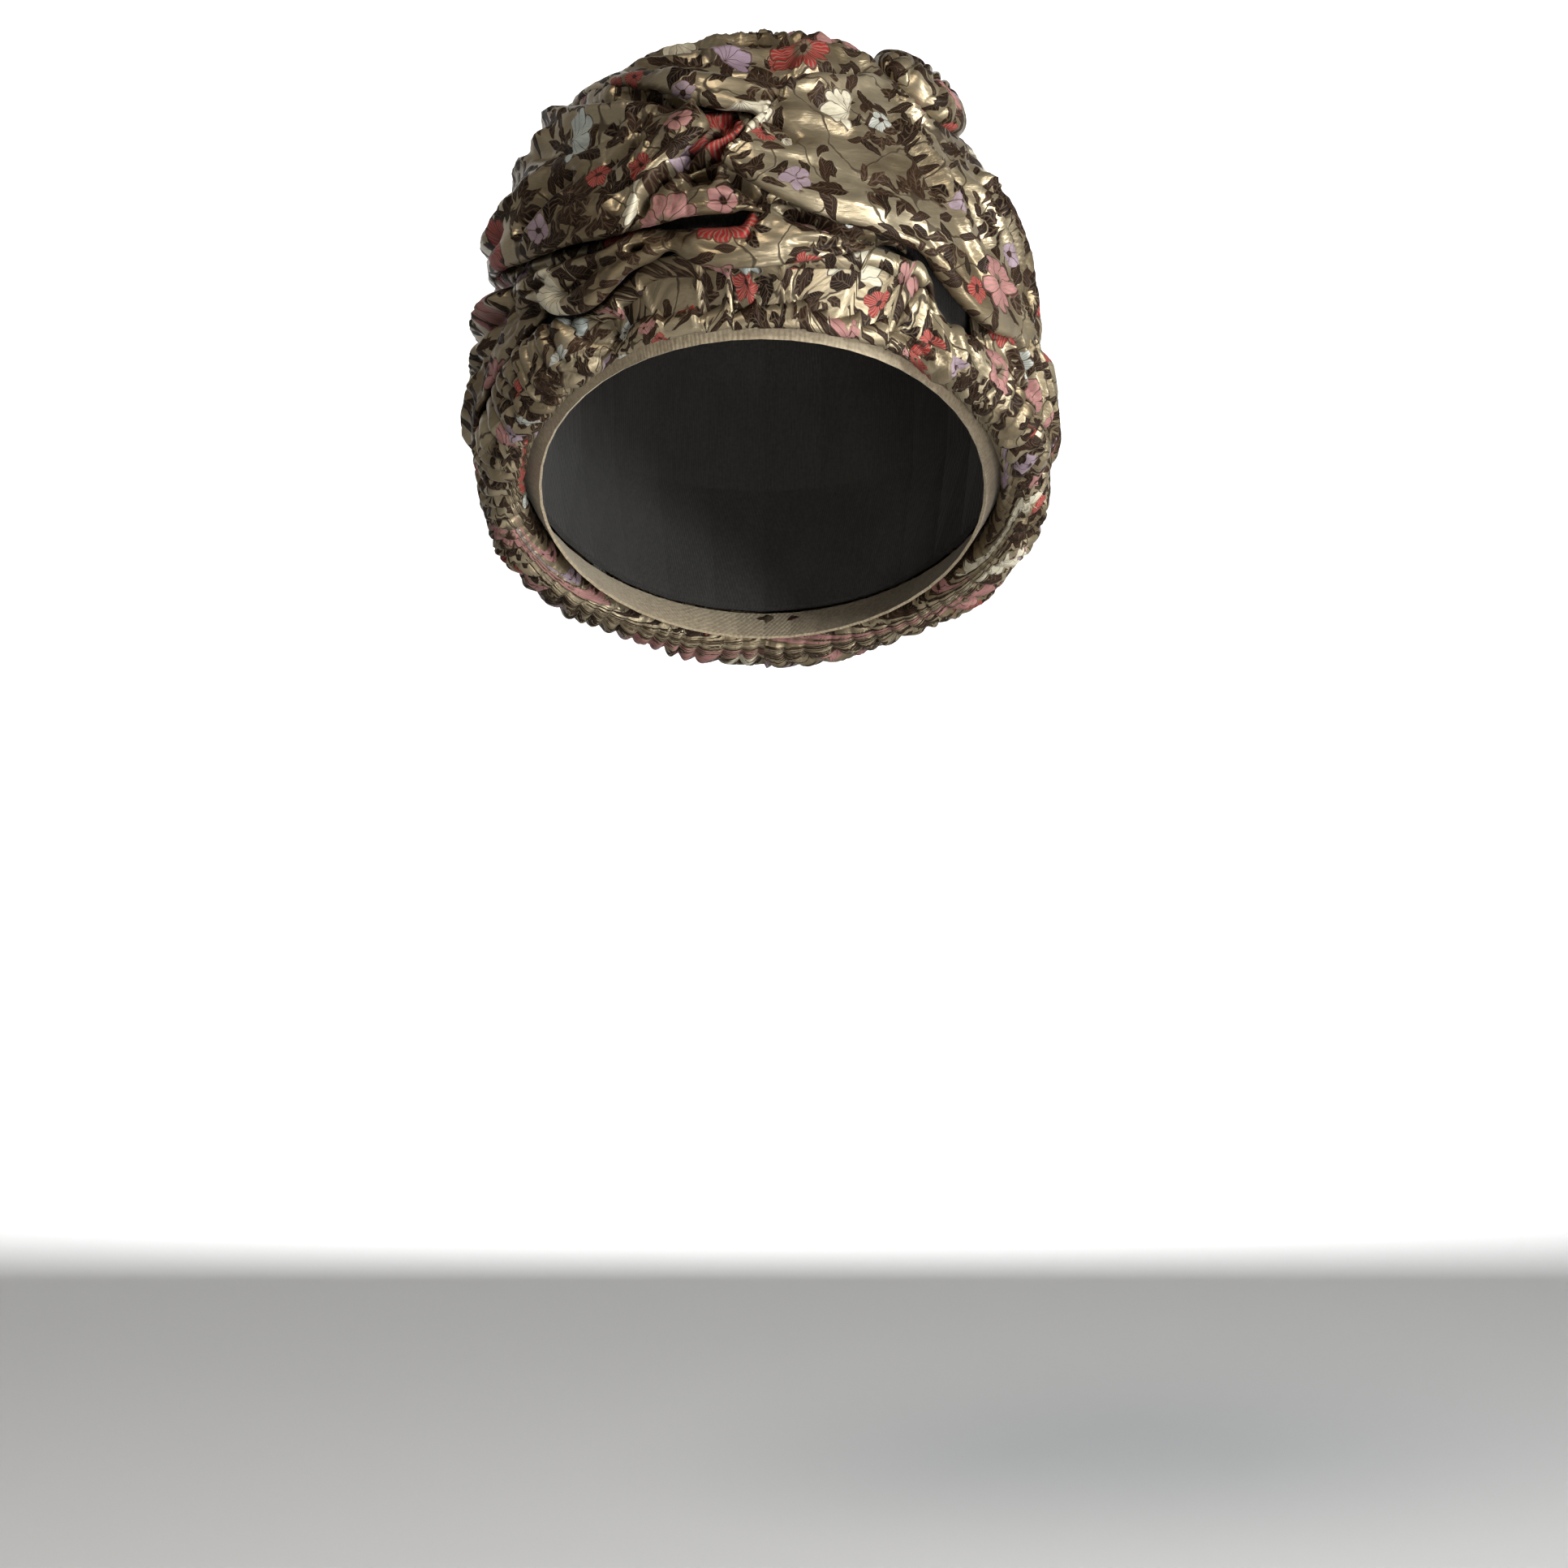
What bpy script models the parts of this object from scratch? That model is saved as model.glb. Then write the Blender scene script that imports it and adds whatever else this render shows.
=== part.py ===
"""Turban headwrap in folded brocade: an inner cap, the wraps and drapes sewn over it, and a padded roll
round the opening. Metres, +Z up, the front of the hat towards -Y. The origin is the inside top of the
crown, where it bears on the head.

A direction from the middle of the head is given as an azimuth (0 in front, positive to the viewer's
right) and an elevation, both in degrees. Each layer of cloth lies on the layers that are under it.
"""

from collections import namedtuple
import math

import bmesh
import bpy
from mathutils import Vector
from mathutils.bvhtree import BVHTree
import numpy as np

# Head form that the outer cloth follows, measured from the middle of the head
HALF_WIDTH = 0.089
FRONT_DEPTH = 0.107
BACK_DEPTH = 0.112
CROWN_RISE = 0.089
NAPE_TAPER = 0.150
SIDE_SWELL = 0.008
SIDE_LEAN = 0.0045

# Cloth
CLOTH_WALL = 0.002
LAYER_GAP = 0.0006
FOLD_HEIGHT = 0.008
LIP_RADIUS = 0.005
LIP_SPREAD = 0.014
HEM_WIDTH = 0.010
FLAT_SPREAD = 0.045

# Padded roll round the opening: its centre line is a flat oval, tilted down to the nape
ROLL_HALF_WIDTH = 0.087
ROLL_FRONT_DEPTH = 0.103
ROLL_BACK_DEPTH = 0.090
ROLL_FRONT_DROP = 0.011
ROLL_TILT_DROP = 0.048
ROLL_HEIGHT = 0.018
ROLL_THICKNESS = 0.017
ROLL_RUCHES = 24
RUCHE_DEPTH = 0.0015
TUCK_DEPTH = 0.0022
SEAM_GAP = 0.0005
# How far inward of the roll's middle the cap is sewn, as a share of the roll's half thickness
CAP_INSET = 0.8

# The wraps lap over the roll's band as far as this azimuth either side of the front
LAP_AZIMUTH = 45

# Ribbon inside the roll
SWEATBAND_HEIGHT = 0.013
SWEATBAND_DROP = 0.0035
SWEATBAND_WALL = 0.001
SWEATBAND_GAP = 0.0003

# Knot high on the viewer's right
KNOT_WIDTH = 0.048
KNOT_LENGTH = 0.040
KNOT_RISE = 0.0060
KNOT_AZIMUTH = 74.0
KNOT_ELEVATION = 51.0
KNOT_GATHERS = 6
KNOT_GATHER_DEPTH = 0.0018
KNOT_DIMPLE = 0.0035

# Where the cloth has to stay clear of what is under it, in whole degrees either side
CLEAR_AZIMUTH = 6
CLEAR_ELEVATION = 5

CROWN_SINK = 2 * (CLOTH_WALL + LAYER_GAP)
HEAD_RISE = CROWN_RISE - CROWN_SINK - CLOTH_WALL

# A wrap's section at one azimuth: its low and high edges in degrees of elevation, and the height of its
# lip and of its flat over the head form, as shares of the fold height
Section = namedtuple("Section", "azimuth low high lip flat")

# A fold over the cloth: three points it passes, its height as a share of the fold height and its half
# width as a share of the lip spread
Fold = namedtuple("Fold", "start middle end height width")

LOWER_WRAP = [
    Section(-58, 1.0, 5.0, -0.20, -0.30),
    Section(-49, -2.3, 6.5, 0.45, 0.35),
    Section(-41, -5.0, 7.5, 0.60, 0.50),
    Section(-34, -6.3, 8.0, 0.65, 0.50),
    Section(-28, -4.2, 8.5, 0.55, 0.40),
    Section(-21, 0.4, 9.0, 0.45, 0.25),
    Section(-15, 2.6, 9.5, 0.40, 0.25),
    Section(-10, 0.6, 9.5, 0.60, 0.35),
    Section(0, 0.0, 10.5, 0.65, 0.40),
    Section(9, 1.3, 12.0, 0.60, 0.35),
    Section(18, 3.4, 11.5, 0.45, 0.20),
    Section(28, 0.5, 7.0, -0.20, -0.30),
]

FRONT_TWIST = [
    Section(-22, 8.2, 11.0, 0.30, 0.20),
    Section(-18, 8.4, 18.0, 0.75, 0.55),
    Section(-13, 8.6, 25.0, 0.85, 0.65),
    Section(-8, 8.9, 29.5, 0.80, 0.60),
    Section(-3, 9.3, 28.0, 0.70, 0.45),
    Section(2, 9.9, 20.0, 0.45, 0.15),
    Section(6, 12.0, 17.0, 0.20, 0.00),
]

LEFT_DRAPE = [
    Section(-172, -60.0, -20.0, -0.35, -0.35),
    Section(-150, -60.0, -6.0, 0.35, 0.20),
    Section(-120, -60.0, 4.0, 0.40, 0.20),
    Section(-95, -60.0, 8.0, 0.45, 0.15),
    Section(-75, -24.0, 8.0, 0.35, 0.05),
    Section(-62, -9.0, 7.0, 0.15, -0.10),
    Section(-52, 0.5, 6.0, 0.00, -0.20),
]

LEFT_WRAP = [
    Section(-170, -22.0, 10.0, -0.35, -0.35),
    Section(-150, -14.0, 30.0, -0.25, -0.25),
    Section(-136, -7.0, 38.0, 0.35, 0.20),
    Section(-120, 0.0, 44.0, 0.65, 0.25),
    Section(-90, 5.0, 54.0, 0.60, 0.15),
    Section(-60, 4.3, 52.0, 0.80, 0.25),
    Section(-40, 5.0, 48.0, 0.85, 0.30),
    Section(-24, 6.6, 42.0, 0.85, 0.45),
    Section(-20, 11.0, 40.0, 0.90, 0.60),
    Section(-15, 18.8, 37.0, 0.95, 0.75),
    Section(-9, 25.0, 32.0, 0.90, 0.75),
]

TOP_DRAPE = [
    Section(-180, -60.0, 90.0, 0.25, 0.15),
    Section(-166, -44.0, 90.0, 0.30, 0.15),
    Section(-150, -22.0, 90.0, 0.40, 0.10),
    Section(-130, 8.0, 90.0, 0.45, 0.10),
    Section(-100, 38.0, 90.0, 0.35, 0.05),
    Section(-60, 42.0, 90.0, 0.45, 0.10),
    Section(-21, 34.5, 90.0, 0.75, 0.10),
    Section(-9, 30.5, 90.0, 0.95, 0.10),
    Section(-5, 27.0, 90.0, 0.80, 0.05),
    Section(-2, 17.0, 90.0, 0.85, 0.20),
    Section(1, 12.6, 90.0, 0.90, 0.30),
    Section(9, 8.8, 90.0, 0.95, 0.35),
    Section(20, 6.5, 90.0, 0.90, 0.35),
    Section(29, 3.5, 90.0, 0.95, 0.35),
    Section(34, -2.5, 90.0, 0.95, 0.35),
    Section(44, -8.2, 90.0, 0.90, 0.35),
    Section(58, -9.8, 90.0, 0.55, 0.10),
    Section(70, -18.0, 90.0, 0.15, -0.15),
    Section(84, -32.0, 90.0, -0.15, -0.45),
    Section(110, -50.0, 90.0, -0.15, -0.35),
    Section(180, -60.0, 90.0, 0.25, 0.15),
]

RIGHT_GATHER = [
    Section(46, -9.0, -6.0, 0.10, -0.10),
    Section(54, -16.5, -5.0, 0.25, 0.10),
    Section(62, -60.0, -4.0, 0.30, 0.10),
    Section(72, -60.0, -8.0, 0.15, -0.15),
    Section(84, -60.0, -16.0, -0.30, -0.60),
]

BACK_FOLD = [
    Section(89, -19.0, -12.0, -0.50, -0.50),
    Section(97, -27.0, -5.0, 0.25, 0.20),
    Section(106, -32.0, -2.0, 0.45, 0.35),
    Section(118, -30.0, -4.0, 0.30, 0.25),
    Section(130, -25.0, -14.0, -0.50, -0.50),
]

TOP_FOLDS = [
    Fold((41, 36), (53, 28), (58, 10), 0.60, 0.34),
    Fold((35, 32), (45, 24), (50, 6), -0.50, 0.34),
    Fold((31, 30), (37, 18), (43, 2), 0.55, 0.36),
    Fold((62, 36), (72, 10), (76, -14), 0.60, 0.42),
    Fold((54, 58), (14, 52), (-22, 42), 0.60, 0.48),
    Fold((50, 68), (-30, 64), (-78, 50), 0.65, 0.52),
    Fold((42, 46), (22, 32), (4, 22), -0.50, 0.40),
    Fold((82, 34), (86, 12), (90, -4), 0.60, 0.42),
    Fold((100, 62), (148, 44), (176, -10), 0.75, 0.75),
    Fold((104, 48), (128, 22), (152, -34), 0.75, 0.75),
    Fold((130, 76), (186, 56), (200, 6), 0.75, 0.75),
    Fold((186, 10), (188, -14), (184, -44), 0.60, 0.60),
    Fold((-160, 80), (-136, 62), (-134, 30), 0.65, 0.60),
    Fold((-60, 82), (-94, 70), (-108, 50), 0.60, 0.55),
]

LEFT_FOLDS = [
    Fold((-22, 28), (-44, 30), (-84, 34), 0.45, 0.50),
    Fold((-25, 17), (-45, 17), (-80, 20), -0.35, 0.45),
    Fold((-76, 18), (-112, 18), (-148, 6), 0.65, 0.48),
    Fold((-84, 34), (-108, 33), (-128, 22), 0.60, 0.42),
]

TWIST_FOLDS = [
    Fold((-19, 11), (-13, 18), (-4, 27), 0.40, 0.22),
    Fold((-17, 9), (-9, 14), (-1, 19), -0.30, 0.20),
]

GATHER_FOLDS = [
    Fold((56, -8), (62, -18), (68, -27), 0.35, 0.16),
    Fold((66, -10), (70, -18), (76, -28), 0.30, 0.16),
]

SIDE_FOLDS = [
    Fold((-66, 4), (-80, -4), (-96, -8), 0.35, 0.35),
    Fold((-74, -6), (-88, -16), (-104, -30), -0.30, 0.30),
    Fold((-110, 0), (-122, -18), (-128, -38), 0.60, 0.45),
    Fold((-136, -4), (-146, -22), (-152, -42), 0.60, 0.45),
]

BACK_FOLDS = [
    Fold((93, -6), (101, -15), (101, -28), 0.45, 0.32),
    Fold((112, -2), (114, -14), (110, -28), -0.30, 0.30),
]

# The roll's section at one azimuth: how far it reaches above and below its centre line, as shares of the
# roll's height, and its half thickness as a share of the roll's thickness. Over the forehead it is a
# flatter band that runs up under the lower wrap.
RollSection = namedtuple("RollSection", "azimuth upper lower thick")
ROLL = [
    RollSection(-180, 0.46, 0.46, 0.46),
    RollSection(-90, 0.50, 0.50, 0.50),
    RollSection(-45, 0.50, 0.50, 0.44),
    RollSection(-33, 0.50, 0.50, 0.36),
    RollSection(-24, 0.85, 0.50, 0.30),
    RollSection(-15, 1.15, 0.50, 0.27),
    RollSection(0, 0.95, 0.50, 0.26),
    RollSection(18, 1.25, 0.50, 0.27),
    RollSection(24, 1.10, 0.50, 0.30),
    RollSection(32, 0.55, 0.50, 0.36),
    RollSection(45, 0.50, 0.50, 0.44),
    RollSection(90, 0.50, 0.50, 0.50),
    RollSection(180, 0.46, 0.46, 0.46),
]

# Tucks of the roll over the forehead: azimuth and half width in degrees
TUCKS = [(-26, 3.0), (-9.5, 2.5), (-4, 2.0), (6.5, 2.5), (19, 2.5), (30, 3.0)]

# Colours: the brocade's ground, its shadowed inner side, and the ribbon
GROUND = (0.290, 0.255, 0.190, 1.0)
INNER = (0.180, 0.155, 0.115, 1.0)
RIBBON = (0.330, 0.260, 0.170, 1.0)


def clear_scene():
    """Empty the file, so that the model is all there is."""
    for thing in list(bpy.data.objects):
        bpy.data.objects.remove(thing, do_unlink=True)


def cloth_material(name, colour, roughness):
    """Plain woven cloth."""
    material = bpy.data.materials.new(name)
    material.use_nodes = True
    shader = material.node_tree.nodes["Principled BSDF"]
    shader.inputs["Base Color"].default_value = colour
    shader.inputs["Roughness"].default_value = roughness
    shader.inputs["Metallic"].default_value = 0.0
    return material


def direction(azimuth, elevation):
    """Unit vectors for azimuths and elevations in degrees."""
    turn = np.radians(azimuth)
    rise = np.radians(elevation)
    flat = np.cos(rise)
    return np.stack([flat * np.sin(turn), -flat * np.cos(turn), np.sin(rise)], axis=-1)


def head_radius(azimuth, elevation):
    """Radius of the smooth head form: an ellipsoid above, a longer taper to the nape below."""
    way = direction(azimuth, elevation)
    depth = np.where(way[..., 1] < 0, FRONT_DEPTH, BACK_DEPTH)
    level = (way[..., 0] / HALF_WIDTH) ** 2 + (way[..., 1] / depth) ** 2
    above = (np.maximum(way[..., 2], 0) / CROWN_RISE) ** 2
    below = (np.maximum(-way[..., 2], 0) / NAPE_TAPER) ** 3
    radius = 1 / np.sqrt(level + above + 1e-9)
    radius = np.minimum(radius, NAPE_TAPER)
    for _ in range(12):
        value = (level + above) * radius ** 2 + below * radius ** 3 - 1
        slope = 2 * (level + above) * radius + 3 * below * radius ** 2
        radius = radius - value / slope
    return radius


def form_radius(azimuth, elevation):
    """The head form with the swell of the side cloth and the crown's lean to the viewer's left."""
    side = np.sin(np.radians(azimuth))
    swell = SIDE_SWELL * side ** 2 * np.exp(-((elevation + 24) / 17) ** 2)
    lean = SIDE_LEAN * side * np.exp(-((elevation - 30) / 20) ** 2)
    return head_radius(azimuth, elevation) + swell - lean


def read(rows, column, azimuth):
    """A table's column as a smooth curve through its rows, read at the azimuths."""
    knots = np.array([row.azimuth for row in rows], float)
    values = np.array([getattr(row, column) for row in rows], float)
    steps = np.diff(values) / np.diff(knots)
    slopes = np.gradient(values, knots)
    flat = steps[:-1] * steps[1:] <= 0
    slopes[1:-1][flat] = 0
    limit = 2 * np.minimum(np.abs(steps[:-1]), np.abs(steps[1:]))
    slopes[1:-1] = np.clip(slopes[1:-1], -limit, limit)
    cell = np.clip(np.searchsorted(knots, azimuth) - 1, 0, len(knots) - 2)
    span = knots[cell + 1] - knots[cell]
    t = np.clip((azimuth - knots[cell]) / span, 0, 1)
    return ((2 * t ** 3 - 3 * t ** 2 + 1) * values[cell] + (t ** 3 - 2 * t ** 2 + t) * span * slopes[cell]
            + (3 * t ** 2 - 2 * t ** 3) * values[cell + 1] + (t ** 3 - t ** 2) * span * slopes[cell + 1])


def roll_line(turn):
    """Centre line of the roll at turns in degrees round the oval, with its two section axes."""
    angle = np.radians(turn)
    depth = np.where(np.cos(angle) > 0, ROLL_FRONT_DEPTH, ROLL_BACK_DEPTH)
    drop = ROLL_FRONT_DROP + ROLL_TILT_DROP * (1 - np.cos(angle))
    centre = np.stack([ROLL_HALF_WIDTH * np.sin(angle), -depth * np.cos(angle), -drop], axis=-1)
    along = np.stack([ROLL_HALF_WIDTH * np.cos(angle), depth * np.sin(angle),
                      -ROLL_TILT_DROP * np.sin(angle)], axis=-1)
    along /= np.linalg.norm(along, axis=-1, keepdims=True)
    outward = centre / np.linalg.norm(centre, axis=-1, keepdims=True)
    outward -= along * np.sum(outward * along, axis=-1, keepdims=True)
    outward /= np.linalg.norm(outward, axis=-1, keepdims=True)
    return centre, outward, np.cross(outward, along)


def roll_azimuth(turn):
    """Azimuth of the roll's centre line at the turns."""
    centre = roll_line(turn)[0]
    return np.degrees(np.arctan2(centre[:, 0], -centre[:, 1]))


def rim_elevation(azimuth, most_inset):
    """Elevation of the seam along the roll's top. The seam may lie inward of the roll's middle, at most
    by this share of the roll's half thickness, where it follows the roll's surface down."""
    turn = np.linspace(-180, 180, 361)
    centre, outward, upward = roll_line(turn)
    around = roll_azimuth(turn)
    far = np.linalg.norm(centre, axis=1)
    thick = read(ROLL, "thick", around) * ROLL_THICKNESS
    middle = np.degrees(np.arcsin(centre[:, 2] / far))
    inset = np.clip((head_radius(around, middle) - CROWN_SINK - far) / thick, -most_inset, 0)
    reach = read(ROLL, "upper", around) * ROLL_HEIGHT * np.sqrt(1 - inset ** 2) + SEAM_GAP
    seam = centre + outward * (inset * thick)[:, None] + upward * reach[:, None]
    flat = np.hypot(seam[:, 0], seam[:, 1])
    around = np.degrees(np.arctan2(seam[:, 0], -seam[:, 1]))
    around[0] = -180
    around[-1] = 180
    return np.interp(azimuth, around, np.degrees(np.arctan2(seam[:, 2], flat)))


def fold_height(folds, azimuth, elevation):
    """Sum of the folds' heights at the directions."""
    way = direction(azimuth, elevation)
    total = np.zeros(np.shape(azimuth))
    for fold in folds:
        steps = np.linspace(0, 1, 17)
        points = [np.array(point, float) for point in (fold.start, fold.middle, fold.end)]
        bend = 2 * points[1] - (points[0] + points[2]) / 2
        route = [(1 - s) ** 2 * points[0] + 2 * s * (1 - s) * bend + s ** 2 * points[2] for s in steps]
        line = direction(np.array(route)[:, 0], np.array(route)[:, 1])
        apart = np.linalg.norm(way[..., None, :] - line, axis=-1) * HALF_WIDTH
        nearest = np.min(apart, axis=-1)
        place = steps[np.argmin(apart, axis=-1)]
        taper = np.clip(4 * place, 0.25, 1) * np.clip(4 * (1 - place), 0.25, 1)
        width = fold.width * LIP_SPREAD
        total += fold.height * FOLD_HEIGHT * taper * np.exp(-(nearest / width) ** 2)
    return total


class Stack:
    """How far above the head form the pieces built so far reach, in each direction, in whole degrees."""

    def __init__(self):
        self.azimuth, self.elevation = np.meshgrid(np.arange(-180, 180), np.arange(-70, 91))
        self.form = head_radius(self.azimuth, self.elevation)
        self.height = np.full(self.azimuth.shape, -CROWN_RISE / 2)
        self.clear = self.height

    def add(self, thing, span=180):
        """Lay one more piece on the stack, as its faces lie, and widen the result by the clearances. Only
        the part of the piece within the span of azimuth either side of the front counts."""
        mesh = thing.data
        mesh.calc_loop_triangles()
        points = [vertex.co for vertex in mesh.vertices]
        tree = BVHTree.FromPolygons(points, [list(face.vertices) for face in mesh.loop_triangles])
        middle = Vector((0, 0, -HEAD_RISE))
        reach = 2 * NAPE_TAPER
        hits = np.zeros(self.azimuth.size)
        for index, way in enumerate(direction(self.azimuth, self.elevation).reshape(-1, 3)):
            way = Vector(way)
            distance = tree.ray_cast(middle + way * reach, -way, reach)[3]
            if distance is not None:
                hits[index] = reach - distance
        hits[np.abs(self.azimuth.ravel()) > span] = 0
        self.height = np.maximum(self.height, hits.reshape(self.azimuth.shape) - self.form)
        widest = self.height
        for _ in range(CLEAR_AZIMUTH):
            widest = np.maximum(widest, np.maximum(np.roll(widest, 1, 1), np.roll(widest, -1, 1)))
        for _ in range(CLEAR_ELEVATION):
            padded = np.pad(widest, ((1, 1), (0, 0)), mode="edge")
            widest = np.maximum(widest, np.maximum(padded[:-2], padded[2:]))
        self.clear = widest

    def top(self, azimuth, elevation):
        """Outer radius of the stack, with its clearances, at the directions."""
        column = np.mod(azimuth + 180, 360)
        row = np.clip(elevation + 70, 0, self.clear.shape[0] - 1.001)
        j, i = column.astype(int), row.astype(int)
        u, v = column - j, row - i
        right = (j + 1) % 360
        low = (1 - u) * self.clear[i, j % 360] + u * self.clear[i, right]
        high = (1 - u) * self.clear[i + 1, j % 360] + u * self.clear[i + 1, right]
        return head_radius(azimuth, elevation) + (1 - v) * low + v * high


def low_edge(rows, azimuth):
    """Elevation of a wrap's low edge: it ends at the roll's seam, but laps over the band in front."""
    rim = np.where(np.abs(azimuth) < LAP_AZIMUTH, -90, rim_elevation(azimuth, 0))
    return np.maximum(read(rows, "low", azimuth), rim)


def wrap_surfaces(stack, rows, folds, azimuth, elevation):
    """Outer and inner radius of a wrap that lies on the stack."""
    low = low_edge(rows, azimuth)
    form = form_radius(azimuth, elevation)
    along = np.radians(elevation - low) * form
    curl = np.sqrt(np.clip(1 - (1 - np.clip(along / LIP_RADIUS, 0, 1)) ** 2, 0, 1))
    spread = np.exp(-(np.maximum(along - LIP_RADIUS, 0) / LIP_SPREAD) ** 2)
    flat = read(rows, "flat", azimuth)
    flat = flat * np.exp(-(np.maximum(along, 0) / FLAT_SPREAD) ** 2)
    height = (flat + (read(rows, "lip", azimuth) - flat) * spread) * FOLD_HEIGHT
    height = height + fold_height(folds, azimuth, elevation)
    seat = stack.top(azimuth, elevation) + LAYER_GAP
    outer = np.maximum(form + height, seat + CLOTH_WALL)
    high = read(rows, "high", azimuth)
    hem = np.where(high < 90, np.clip(np.radians(high - elevation) * form / HEM_WIDTH, 0, 1), 1)
    outer = seat + CLOTH_WALL + (outer - seat - CLOTH_WALL) * curl * np.sin(hem * math.pi / 2)
    return outer, np.maximum(outer - CLOTH_WALL, seat)


def place(radius, azimuth, elevation):
    """World points at the radii from the middle of the head."""
    return direction(azimuth, elevation) * radius[..., None] - np.array([0, 0, HEAD_RISE])


def add_mesh(name, points, faces, material):
    """One closed, smooth-shaded object from its points and faces."""
    mesh = bpy.data.meshes.new(name)
    mesh.from_pydata([tuple(point) for point in points], [], faces)
    shape = bmesh.new()
    shape.from_mesh(mesh)
    bmesh.ops.recalc_face_normals(shape, faces=shape.faces)
    shape.to_mesh(mesh)
    shape.free()
    mesh.shade_smooth()
    mesh.set_sharp_from_angle(angle=math.radians(60))
    mesh.materials.append(material)
    thing = bpy.data.objects.new(name, mesh)
    bpy.context.scene.collection.objects.link(thing)
    return thing


def grid_faces(rows, columns, start, ring):
    """Quads of a grid whose points are numbered row by row from start."""
    faces = []
    last = columns if ring else columns - 1
    for i in range(rows - 1):
        for j in range(last):
            k = (j + 1) % columns
            faces.append((start + i * columns + j, start + i * columns + k,
                          start + (i + 1) * columns + k, start + (i + 1) * columns + j))
    return faces


def add_patch(name, outer, inner, material):
    """A closed shell between two grids of points of the same size, walled along its four edges."""
    rows, columns = outer.shape[:2]
    count = rows * columns
    faces = grid_faces(rows, columns, 0, False)
    faces += [face[::-1] for face in grid_faces(rows, columns, count, False)]
    border = [(0, j) for j in range(columns)] + [(i, columns - 1) for i in range(1, rows)]
    border += [(rows - 1, j) for j in range(columns - 2, -1, -1)] + [(i, 0) for i in range(rows - 2, 0, -1)]
    index = [i * columns + j for i, j in border]
    for a, b in zip(index, index[1:] + index[:1]):
        faces.append((b, a, a + count, b + count))
    points = np.concatenate([outer.reshape(-1, 3), inner.reshape(-1, 3)])
    return add_mesh(name, points, faces, material)


def add_cap(name, outer, inner, material):
    """A closed shell like a cap: the grids' first row is the pole, and their last row is the rim."""
    rows, columns = outer.shape[:2]
    points, faces, rims = [], [], []
    for grid in (outer, inner):
        pole = len(points)
        points.append(grid[0].mean(axis=0))
        first = len(points)
        points.extend(grid[1:].reshape(-1, 3))
        rims.append(first + (rows - 2) * columns)
        faces += [(pole, first + (j + 1) % columns, first + j) for j in range(columns)]
        faces += grid_faces(rows - 1, columns, first, True)
    for j in range(columns):
        k = (j + 1) % columns
        faces.append((rims[0] + j, rims[0] + k, rims[1] + k, rims[1] + j))
    return add_mesh(name, points, faces, material)


def add_ring(name, sections, material):
    """A closed ring from its sections, each a closed loop of points."""
    turns, sides = sections.shape[:2]
    faces = []
    for i in range(turns):
        for j in range(sides):
            k, m = (i + 1) % turns, (j + 1) % sides
            faces.append((i * sides + j, k * sides + j, k * sides + m, i * sides + m))
    return add_mesh(name, sections.reshape(-1, 3), faces, material)


def spaced_azimuths(count, crowd):
    """Azimuths round the head, closer together in front."""
    turn = np.linspace(-180, 180, count, endpoint=False)
    return turn - np.degrees(crowd * np.sin(np.radians(turn)))


def lip_steps(count):
    """Steps from the high edge (1) to the low edge (0), closer together at the lip."""
    return np.linspace(1, 0, count) ** 1.7


def add_wrap(name, stack, rows, columns, lines, folds, material):
    """One wrap: a shell from its high edge down to its lip, laid on the stack."""
    edges = np.linspace(rows[0].azimuth, rows[-1].azimuth, columns)
    low = low_edge(rows, edges)
    high = read(rows, "high", edges)
    azimuth = np.tile(edges, (lines, 1))
    elevation = low + (high - low) * lip_steps(lines)[:, None]
    outer, inner = wrap_surfaces(stack, rows, folds, azimuth, elevation)
    thing = add_patch(name, place(outer, azimuth, elevation), place(inner, azimuth, elevation), material)
    stack.add(thing)


def add_crown(stack, material):
    """The inner cap, from the top of the head to the seam along the roll."""
    columns, lines = 40, 8
    around = spaced_azimuths(columns, 0.25)
    azimuth = np.tile(around, (lines, 1))
    elevation = 90 - (90 - rim_elevation(azimuth, CAP_INSET)) * np.linspace(0, 1, lines)[:, None]
    outer = head_radius(azimuth, elevation) - CROWN_SINK
    inner = outer - CLOTH_WALL
    thing = add_cap("crown", place(outer, azimuth, elevation), place(inner, azimuth, elevation), material)
    stack.add(thing)


def add_top_drape(stack, material):
    """The cloth over the top, the viewer's right and the back, ending in the right-hand lip."""
    columns, lines = 64, 16
    around = spaced_azimuths(columns, 0.22)
    low = low_edge(TOP_DRAPE, around)
    azimuth = np.tile(around, (lines, 1))
    elevation = low + (90 - low) * np.linspace(1, 0, lines)[:, None] ** 1.25
    outer, inner = wrap_surfaces(stack, TOP_DRAPE, TOP_FOLDS, azimuth, elevation)
    thing = add_cap("top_drape", place(outer, azimuth, elevation), place(inner, azimuth, elevation), material)
    stack.add(thing)


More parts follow.
